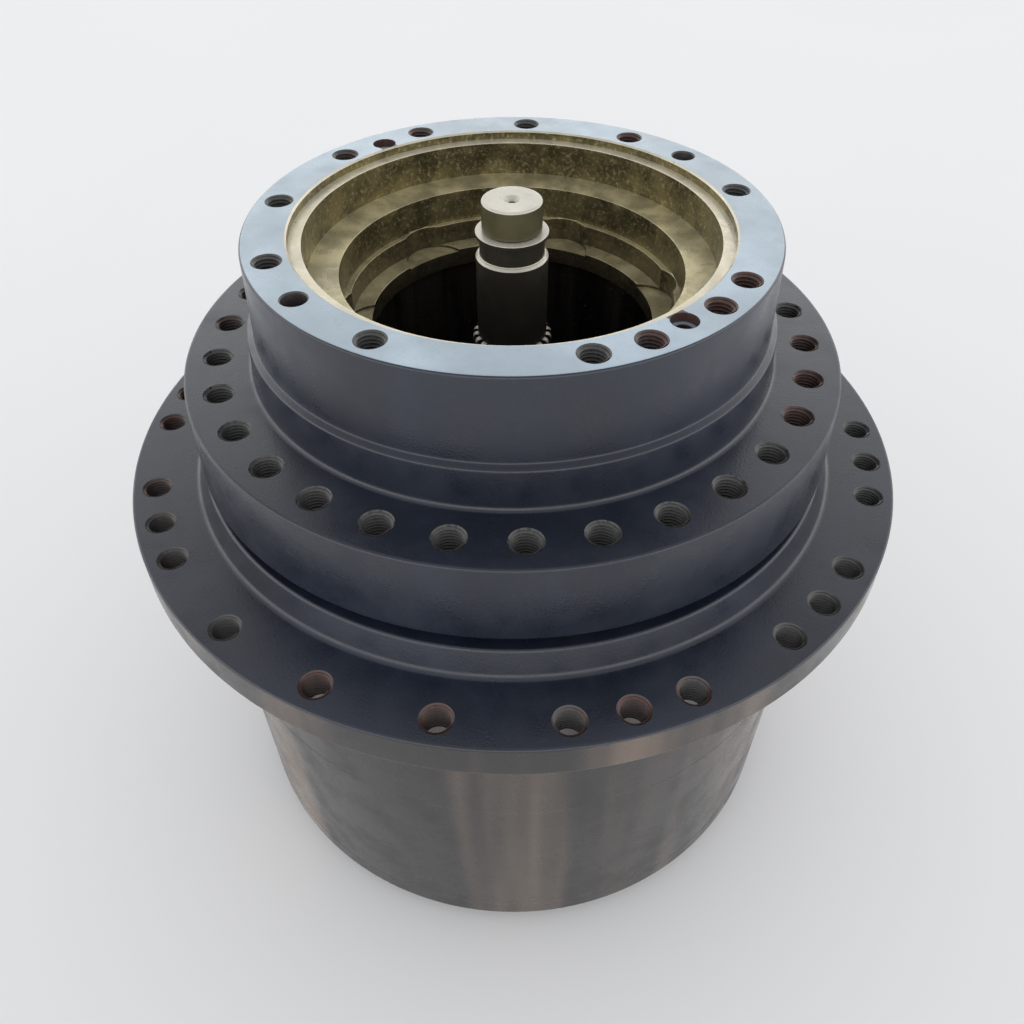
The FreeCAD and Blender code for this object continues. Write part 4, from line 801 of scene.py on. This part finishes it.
# ---------------------------------------------------------------- pieces
class FINALDRIVE_OT_spindle(bpy.types.Operator):
    """Spindle casting with its bore, pockets, bolt holes and threads"""

    bl_idname = "final_drive.spindle"
    bl_label = "Spindle"

    def execute(self, context):
        s = settings().spindle
        h = settings().holes
        face = top("spindle")
        end = foot("spindle")
        frame_face = MOUNTS["frame_bolts"]["pos_m"][2]
        frame_foot = frame_face - s.frame_thickness
        seal_top = frame_foot + s.seal_depth
        outside = [
            (s.face_radius, face, s.edge),
            (s.flange_foot_radius, -s.flange_height, s.edge / 2),
            (s.neck_radius, -s.flange_height - s.neck_lead, s.edge / 2),
            (s.neck_foot_radius, frame_face, s.fillet),
            (s.frame_radius, frame_face, s.edge),
            (reach("spindle"), frame_foot, s.edge),
            (s.seal_bore, frame_foot),
            (s.seal_bore, seal_top),
            (s.seal_neck, seal_top, s.fillet),
            (s.seal_neck, s.seal_neck_end),
            (s.shoulder, s.seal_neck_end, s.fillet),
            (s.shoulder, s.shoulder_foot),
            (s.bearing_seat, s.shoulder_foot),
            (s.bearing_seat, s.thread_top),
            (s.nut_thread, s.thread_top),
            (s.nut_thread, end, s.edge / 2),
        ]
        inside = [
            (s.oil_bore, end),
            (s.oil_bore, -s.throat_depth),
            (s.throat, -s.throat_depth + s.throat_flare),
            (s.throat, -s.lip_depth, s.edge / 4),
            (s.lip, -s.lip_depth),
            (s.lip, -s.chamber_depth, s.edge / 4),
            (s.chamber, -s.chamber_depth),
            (s.chamber, -s.pilot_depth - s.ledge_slope, s.edge / 4),
            (s.pilot, -s.pilot_depth),
            (s.pilot, -s.seat_depth, s.edge / 4),
            (s.seat, -s.seat_depth),
            (s.seat, -s.edge * 0.7),
            (s.seat + s.edge * 0.7, face),
        ]
        made = piece("spindle_casting", spun(outside + inside))
        pocket_places = [
            around(s.pocket_circle, MIRROR_LINE + 360 / POCKET_COUNT * k, -s.chamber_depth)
            for k in range(POCKET_COUNT)
        ]
        pocket_depth = s.lip_depth + s.pocket_floor - s.chamber_depth
        sink_places = [place + Vector((0, 0, -h.dowel_sink_depth)) for place in dowel_places()]
        carved(made, [
            drilled(h.motor_bolt, h.motor_depth, h.chamfer, motor_places()),
            drilled(h.motor_plain, h.motor_depth, h.chamfer, plain_places()),
            drilled(h.dowel_sink, h.dowel_sink_depth, h.break_edge, dowel_places()),
            drilled(frame_hole(), h.frame_depth, h.chamfer, frame_places()),
            drilled(s.pocket_radius, pocket_depth, h.break_edge, pocket_places, POCKET_STEPS),
        ])
        carved(made, [drilled(h.dowel, h.dowel_depth - h.dowel_sink_depth, h.break_edge, sink_places)])
        smoothed(made)
        colours = settings().colours
        finishes = [
            # The lighter paint goes into vertical streaks: painted reflection bands.
            enamel("Housing paint", colours.paint, tint(colours.paint, 1.6), 0.5),
            motor_face(), bore_metal(), oily_bore(), thread_metal(),
        ]
        paint, pale_face, bore, oil_and_shade, thread = range(len(finishes))
        hole_axes = [place.xy for place in motor_places() + plain_places() + frame_places()]
        dowel_axes = [place.xy for place in dowel_places()]
        by_hole = h.motor_bolt + h.chamfer * 1.6
        by_dowel = h.dowel_sink + 0.5 * MM
        bore_edge = s.seat + s.edge * 0.7
        sliver = 1e-5

        def choose(polygon):
            centre = polygon.center
            radius = centre.xy.length
            outside = radius > s.seat + s.edge
            if outside and abs(centre.z + h.dowel_sink_depth) < HAIR and polygon.normal.z > 0.9:
                return pale_face
            if outside and abs(polygon.normal.z) < 0.95 or polygon.area < sliver:
                # Hole walls take the dark thread metal; on the dowel sinks this dark wall is painted
                # shade, a dark ring round the pale sink floor.
                if nearest(centre, hole_axes) < by_hole or nearest(centre, dowel_axes) < by_dowel:
                    return thread
            if radius < bore_edge and centre.z < -HAIR:
                return bore if centre.z > -s.throat_depth else oil_and_shade
            if abs(centre.z) < HAIR and abs(polygon.normal.z) > 0.9:
                return pale_face
            return paint

        dressed(made, finishes, choose)
        placed(made, "fixed_side", "housing_paint", "spindle")
        ridges("spindle_threads", [
            (h.motor_bolt, h.chamfer, BLIND_THREAD_TURNS, motor_places()),
            (frame_hole(), h.chamfer, BLIND_THREAD_TURNS, frame_places()),
        ], "fixed_side")
        return {"FINISHED"}


class FINALDRIVE_OT_drum(bpy.types.Operator):
    """Drum hub casting with the sprocket flange and its threaded holes"""

    bl_idname = "final_drive.drum"
    bl_label = "Drum hub"

    def execute(self, context):
        s = settings().drum
        h = settings().holes
        radius = reach("ring_gear")
        highest = top("drum_hub")
        lowest = foot("drum_hub")
        made = piece("drum_casting", spun([
            (s.seal_bore, highest),
            (s.collar_radius, highest, s.edge),
            (s.collar_foot, s.face, s.collar_fillet),
            (s.flange_radius, s.face, s.edge),
            (reach("drum_hub"), s.flange_foot, s.edge),
            (radius, s.flange_foot, s.fillet),
            (radius, s.end + s.seam),
            (radius - s.seam, s.end),
            (s.spigot, s.end),
            (s.spigot, lowest),
            (s.spigot - s.spigot_wall, lowest),
            (s.mouth, s.end + s.mouth_depth),
            (s.bearing, s.end + s.mouth_depth),
            (s.bearing, s.bearing_foot),
            (s.shoulder, s.bearing_foot),
            (s.shoulder, s.pocket_foot),
            (s.pocket, s.pocket_foot, s.fillet),
            (s.pocket, s.pocket_top, s.fillet),
            (s.shoulder, s.pocket_top),
            (s.shoulder, s.bearing_top),
            (s.bearing, s.bearing_top),
            (s.bearing, s.seal_floor),
            (s.seal_bore, s.seal_floor, s.collar_fillet),
        ]))
        thickness = s.face - s.flange_foot
        carved(made, [through(sprocket_hole(), thickness, h.chamfer, sprocket_places())])
        smoothed(made)
        colours = settings().colours
        finishes = [
            # The lighter paint goes into vertical streaks: painted reflection bands.
            enamel("Housing paint", colours.paint, tint(colours.paint, 1.6), 0.5),
            drum_paint(),
            machined("Turned iron", tint(colours.iron, 1.6), colours.iron),
            thread_metal(),
        ]
        paint, drum, turned_iron, thread = range(len(finishes))
        axes = [place.xy for place in sprocket_places()]
        by_hole = sprocket_hole() + h.chamfer * 1.2

        def choose(polygon):
            centre = polygon.center
            distance = centre.xy.length
            on_flange = s.collar_foot + s.fillet < distance < s.flange_radius - s.edge * 2
            if on_flange and abs(polygon.normal.z) < 0.95 and centre.z > s.flange_foot - HAIR:
                if nearest(centre, axes) < by_hole:
                    return thread
            if distance < s.seal_bore + 0.5 * MM or centre.z < s.end + HAIR:
                return turned_iron
            return paint if centre.z > s.face - s.edge * 0.6 else drum

        dressed(made, finishes, choose)
        placed(made, "drum", "housing_paint", "drum_hub")
        ridges("sprocket_threads", [
            (sprocket_hole(), h.chamfer, THROUGH_THREAD_TURNS, sprocket_places()),
        ], "drum")
        return {"FINISHED"}


class FINALDRIVE_OT_cover(bpy.types.Operator):
    """End cover with its raised foot"""

    bl_idname = "final_drive.cover"
    bl_label = "End cover"

    def execute(self, context):
        s = settings().cover
        d = settings().drum
        joint = foot("ring_gear")
        radius = reach("ring_gear")
        lowest = foot("end_cover")
        highest = top("end_cover")
        step = s.face - lowest
        made = piece("cover_casting", spun([
            (0, s.floor),
            (s.cavity, s.floor, s.fillet),
            (s.cavity, highest),
            (d.spigot, highest),
            (d.spigot, joint),
            (radius - d.seam, joint),
            (radius, joint - d.seam),
            (radius, s.rim_foot, d.edge),
            (s.dome_radius, s.rim_foot, s.fillet),
            (s.dome_top, s.face, s.fillet),
            (s.foot_radius + step, s.face, d.edge),
            (s.foot_radius, lowest, d.edge),
            (0, lowest),
        ]))
        plugs = [around(s.plug_circle, 90 + 360 / PLUG_COUNT * k, s.face) for k in range(PLUG_COUNT)]
        plug_hole = spun([
            (0, s.floor - s.face + MM), (s.plug_radius, s.floor - s.face + MM),
            (s.plug_radius, -MM), (0, -MM),
        ], SMALL_HOLE_STEPS)
        hole = s.bolt_radius + s.bolt_gap
        carved(made, [
            through(hole, joint - s.rim_foot, s.bolt_chamfer, cover_bolt_places(joint), SMALL_HOLE_STEPS),
            repeated(plug_hole, plugs),
        ])
        smoothed(made)
        dressed(made, [drum_paint()])
        placed(made, "drum", "housing_paint", "end_cover")
        return {"FINISHED"}


def hexagon_bolt(head_radius, head_height, shank_radius, shank_length):
    """A hexagon bolt that hangs head down from its seat at height 0."""
    head = bmesh.new()
    bmesh.ops.create_circle(head, cap_ends=True, segments=6, radius=head_radius)
    grown = bmesh.ops.extrude_face_region(head, geom=head.faces[:])["geom"]
    lower = [item for item in grown if isinstance(item, bmesh.types.BMVert)]
    bmesh.ops.translate(head, vec=(0, 0, -head_height), verts=lower)
    bmesh.ops.recalc_face_normals(head, faces=head.faces[:])
    rim = [edge for edge in head.edges if all(v.co.z < HAIR - head_height for v in edge.verts)]
    bmesh.ops.bevel(
        head, geom=rim, offset=head_radius * 0.1, segments=2,
        profile=0.5, affect="EDGES", material=-1, clamp_overlap=True,
    )
    uprights = [
        edge for edge in head.edges
        if abs(edge.verts[0].co.z - edge.verts[1].co.z) > head_height * 0.5
    ]
    bmesh.ops.bevel(
        head, geom=uprights, offset=0.5 * MM, segments=2, profile=0.5, affect="EDGES", material=-1,
        clamp_overlap=True,
    )
    shank = spun([
        (0, shank_length), (shank_radius, shank_length, 1.0 * MM), (shank_radius, -head_height * 0.2),
        (0, -head_height * 0.2),
    ], SMALL_HOLE_STEPS)
    return joined(head, shank)


class FINALDRIVE_OT_cover_bolts(bpy.types.Operator):
    """Hexagon bolts that hold the end cover"""

    bl_idname = "final_drive.cover_bolts"
    bl_label = "Cover bolts"

    def execute(self, context):
        s = settings().cover
        bolt = hexagon_bolt(
            s.head_radius, s.head_height, s.bolt_radius - 0.02 * MM, top("cover_bolts") - s.rim_foot,
        )
        made = smoothed(piece("cover_bolt_set", repeated(bolt, cover_bolt_places(s.rim_foot))))
        dressed(made, [black_bolts()])
        placed(made, "drum", "fastener_steel", "cover_bolts")
        return {"FINISHED"}


class FINALDRIVE_OT_shaft(bpy.types.Operator):
    """Splined input shaft"""

    bl_idname = "final_drive.shaft"
    bl_label = "Input shaft"

    def execute(self, context):
        s = settings().shaft
        body_radius = s.collar
        highest = top("input_shaft")
        lowest = foot("input_shaft")
        journal_foot = highest - s.journal_length
        groove_foot = journal_foot - s.groove_width
        collar_foot = groove_foot - s.collar_width
        neck_foot = collar_foot - s.neck_length
        body_foot = neck_foot - s.body_length
        spline_foot = body_foot - s.spline_length
        shank = spun([
            (0, highest - s.centre_depth),
            (s.centre, highest - s.centre_depth),
            (s.centre, highest - s.sink_depth),
            (s.sink, highest, 0.3 * MM),
            (s.journal, highest, s.journal_rounding),
            (s.journal, journal_foot),
            (s.groove, journal_foot),
            (s.groove, groove_foot),
            (s.collar, groove_foot, 0.5 * MM),
            (s.collar, collar_foot, 0.5 * MM),
            (s.neck, collar_foot),
            (s.neck, neck_foot + s.chamfer, 1.0 * MM),
            (body_radius - s.chamfer, neck_foot + s.chamfer),
            (body_radius, neck_foot),
            (body_radius, spline_foot),
            (s.stem, spline_foot - s.run_out),
            (s.stem, s.seat_top + s.seat_lead),
            (s.seat, s.seat_top),
            (s.seat, lowest),
            (0, lowest),
        ], SHAFT_STEPS)
        tip = reach("input_shaft")
        half_pitch = math.pi / s.spline_teeth
        root = body_radius - 1.0 * MM
        wide = body_radius * half_pitch * 1.25 / 2
        narrow = tip * half_pitch * 0.72 / 2
        tooth = bmesh.new()
        corners = [
            tooth.verts.new((root, -wide, spline_foot)),
            tooth.verts.new((tip, -narrow, spline_foot)),
            tooth.verts.new((tip, narrow, spline_foot)),
            tooth.verts.new((root, wide, spline_foot)),
        ]
        tooth.faces.new(corners)
        grown = bmesh.ops.extrude_face_region(tooth, geom=tooth.faces[:])["geom"]
        upper = [item for item in grown if isinstance(item, bmesh.types.BMVert)]
        bmesh.ops.translate(tooth, vec=(0, 0, s.spline_length), verts=upper)
        outer_end = [v for v in upper if v.co.x > body_radius]
        end_edges = [e for e in tooth.edges if all(v in outer_end for v in e.verts)]
        bmesh.ops.recalc_face_normals(tooth, faces=tooth.faces[:])
        bmesh.ops.bevel(
            tooth, geom=end_edges, offset=s.spline_lead * 0.8, segments=5, profile=0.5,
            affect="EDGES", material=-1, clamp_overlap=False,
        )
        long_edges = [
            e for e in tooth.edges
            if e.calc_length() > s.spline_length * 0.8 and all(v.co.x > tip - MM for v in e.verts)
        ]
        bmesh.ops.bevel(
            tooth, geom=long_edges, offset=0.5 * MM, segments=2, profile=0.5,
            affect="EDGES", material=-1, clamp_overlap=True,
        )
        bmesh.ops.spin(
            tooth, geom=tooth.verts[:] + tooth.edges[:] + tooth.faces[:], cent=(0, 0, 0),
            axis=(0, 0, 1), dvec=(0, 0, 0), angle=math.tau * (s.spline_teeth - 1) / s.spline_teeth,
            steps=s.spline_teeth - 1, use_duplicate=True,
        )
        bmesh.ops.recalc_face_normals(tooth, faces=tooth.faces[:])
        made = smoothed(piece("input_shaft_dressed", joined(shank, tooth)), 36.0)
        colours = settings().colours
        finishes = [
            machined("Oiled shaft", tint(colours.shaft, 1.2), tint(colours.shaft, 0.6), 0.36, 0.1),
            machined("Bright steel", colours.bright, tint(colours.bright, 0.7), 0.34, 0.3),
            machined("Journal", colours.journal, colours.journal_dark, 0.36, 0.25),
        ]
        dark, bright, olive = range(len(finishes))

        def choose(polygon):
            centre = polygon.center
            distance = centre.xy.length
            # Tooth leads and up-facing faces take bright steel: painted highlight on the oiled shaft, with
            # bare turned steel on the top end face.
            in_lead = body_foot - s.spline_lead < centre.z < body_foot + HAIR
            if in_lead and distance > body_radius + 0.3 * MM:
                return bright
            if polygon.normal.z > 0.3 and distance > s.centre * 1.1:
                return bright
            return olive if centre.z > journal_foot else dark

        dressed(made, finishes, choose)
        placed(made, "input", "shaft_steel", "input_shaft")
        return {"FINISHED"}


SLOT_FINISHES = {
    "shaft_steel": lambda c: machined("Ground shaft", c.bearing, tint(c.bearing, 0.6)),
    "gear_steel": lambda c: machined("Gear steel", c.gear, tint(c.gear, 0.6), 0.34),
    "carrier_iron": lambda c: cast("Carrier iron", c.iron, 0.5, 0.6),
    "bronze": lambda c: machined("Bronze", c.bronze, tint(c.bronze, 0.65), 0.36, 0.9),
    "bearing_steel": lambda c: machined("Bearing steel", c.bearing, tint(c.bearing, 0.75), 0.2, 0.95),
    "rubber": lambda c: cast("Seal rubber", c.rubber, 0.6, 0.0, 900.0, 0.0001),
    "fastener_steel": lambda c: black_bolts(),
    "housing_paint": lambda c: drum_paint(),
}


class FINALDRIVE_OT_inner_parts(bpy.types.Operator):
    """Finishes for the ring gear, bearings, seals, gears and carriers that keep their CAD shape"""

    bl_idname = "final_drive.inner_parts"
    bl_label = "Gear train and bearings"

    def execute(self, context):
        colours = settings().colours
        by_node = {part["node"]: part["material_slot"] for part in frame["record"]["subparts"]}
        for name, node in frame["nodes"].items():
            if node.hide_render:
                continue
            slot = by_node[name]
            if name == "ring_gear":
                slot = "housing_paint"
            material = SLOT_FINISHES[slot](colours)
            for number in range(len(node.material_slots)):
                node.material_slots[number].material = material
        return {"FINISHED"}


# Heights of the sky, as the sine of the elevation, and the tone at each
SKY = (
    (0.0, (0.55, 0.55, 0.55)),
    (0.14, (0.95, 0.95, 0.93)),
    (0.34, (1.0, 1.0, 1.0)),
    (0.55, (0.76, 0.76, 0.77)),
    (0.72, (0.30, 0.305, 0.32)),
    (1.0, (0.30, 0.305, 0.32)),
)
SKY_STRENGTH = 2.0
FLOOR_RADIUS = 14.0
CAMERA_PLACE = (0.2413, -0.4986, 0.2722)
CAMERA_HEADING = 25.9
CAMERA_TILT = 45.411
CAMERA_ROLL = -0.2254
CAMERA_LENS = 30.973
CAMERA_SENSOR = 36.0


class FINALDRIVE_OT_stage(bpy.types.Operator):
    """Pale floor, soft light and camera"""

    bl_idname = "final_drive.stage"
    bl_label = "Stage"

    def execute(self, context):
        scene = context.scene
        shape = bmesh.new()
        bmesh.ops.create_circle(shape, cap_ends=True, segments=64, radius=FLOOR_RADIUS)
        floor = piece("floor", shape)
        floor.data.transform(Matrix.Translation((0, 0, CAD_BOX[0][2])))
        f = Finish("Floor")
        tone = settings().colours.floor
        patch = f.noise(1.5, 2.0)
        f.finish(f.blend(patch, tint(tone, 0.985), tint(tone, 1.015)), 0.9)
        f.shader.inputs["Specular IOR Level"].default_value = 0.1
        floor.data.materials.append(f.material)

        world = bpy.data.worlds.new("Studio")
        scene.world = world
        world.use_nodes = True
        tree = world.node_tree
        nodes = tree.nodes
        background = nodes["Background"]
        coordinates = nodes.new("ShaderNodeTexCoord")
        split = nodes.new("ShaderNodeSeparateXYZ")
        tree.links.new(coordinates.outputs["Generated"], split.inputs[0])
        ramp = nodes.new("ShaderNodeValToRGB")
        tree.links.new(split.outputs[2], ramp.inputs[0])
        ramp.color_ramp.interpolation = "EASE"
        first, last = ramp.color_ramp.elements
        first.position, first.color = SKY[0][0], (*SKY[0][1], 1)
        last.position, last.color = SKY[-1][0], (*SKY[-1][1], 1)
        for position, tone in SKY[1:-1]:
            ramp.color_ramp.elements.new(position).color = (*tone, 1)
        tree.links.new(ramp.outputs[0], background.inputs[0])
        background.inputs[1].default_value = SKY_STRENGTH

        camera_data = bpy.data.cameras.new("Camera")
        camera_data.lens = CAMERA_LENS
        camera_data.sensor_width = CAMERA_SENSOR
        camera_data.clip_end = 100.0
        camera = bpy.data.objects.new("Camera", camera_data)
        scene.collection.objects.link(camera)
        camera.matrix_world = (
            Matrix.Translation(CAMERA_PLACE)
            @ Matrix.Rotation(math.radians(CAMERA_HEADING), 4, "Z")
            @ Matrix.Rotation(math.radians(CAMERA_TILT), 4, "X")
            @ Matrix.Rotation(math.radians(CAMERA_ROLL), 4, "Z")
        )
        scene.camera = camera
        scene.view_settings.view_transform = "Standard"
        return {"FINISHED"}


PIECES = (
    FINALDRIVE_OT_spindle,
    FINALDRIVE_OT_drum,
    FINALDRIVE_OT_cover,
    FINALDRIVE_OT_cover_bolts,
    FINALDRIVE_OT_shaft,
    FINALDRIVE_OT_inner_parts,
    FINALDRIVE_OT_stage,
)


class FINALDRIVE_PT_panel(bpy.types.Panel):
    """Buttons for the pieces of the final drive"""

    bl_idname = "FINALDRIVE_PT_panel"
    bl_label = "Final drive"
    bl_space_type = "VIEW_3D"
    bl_region_type = "UI"
    bl_category = "Final drive"

    def draw(self, context):
        for operator in PIECES:
            self.layout.operator(operator.bl_idname)
        for group in ("spindle", "holes", "drum", "cover", "shaft", "colours"):
            box = self.layout.box()
            values = getattr(context.scene.final_drive, group)
            for key in values.__annotations__:
                box.prop(values, key)


CLASSES = (
    SpindleSizes, HoleSizes, DrumSizes, CoverSizes, ShaftSizes, Colours, Settings,
    *PIECES, FINALDRIVE_PT_panel,
)


def register():
    for entry in CLASSES:
        bpy.utils.register_class(entry)
    bpy.types.Scene.final_drive = bpy.props.PointerProperty(type=Settings)


def unregister():
    del bpy.types.Scene.final_drive
    for entry in reversed(CLASSES):
        bpy.utils.unregister_class(entry)


def main():
    register()
    bpy.ops.final_drive.spindle()
    bpy.ops.final_drive.drum()
    bpy.ops.final_drive.cover()
    bpy.ops.final_drive.cover_bolts()
    bpy.ops.final_drive.shaft()
    bpy.ops.final_drive.inner_parts()
    bpy.ops.final_drive.stage()


if __name__ == "__main__":
    main()
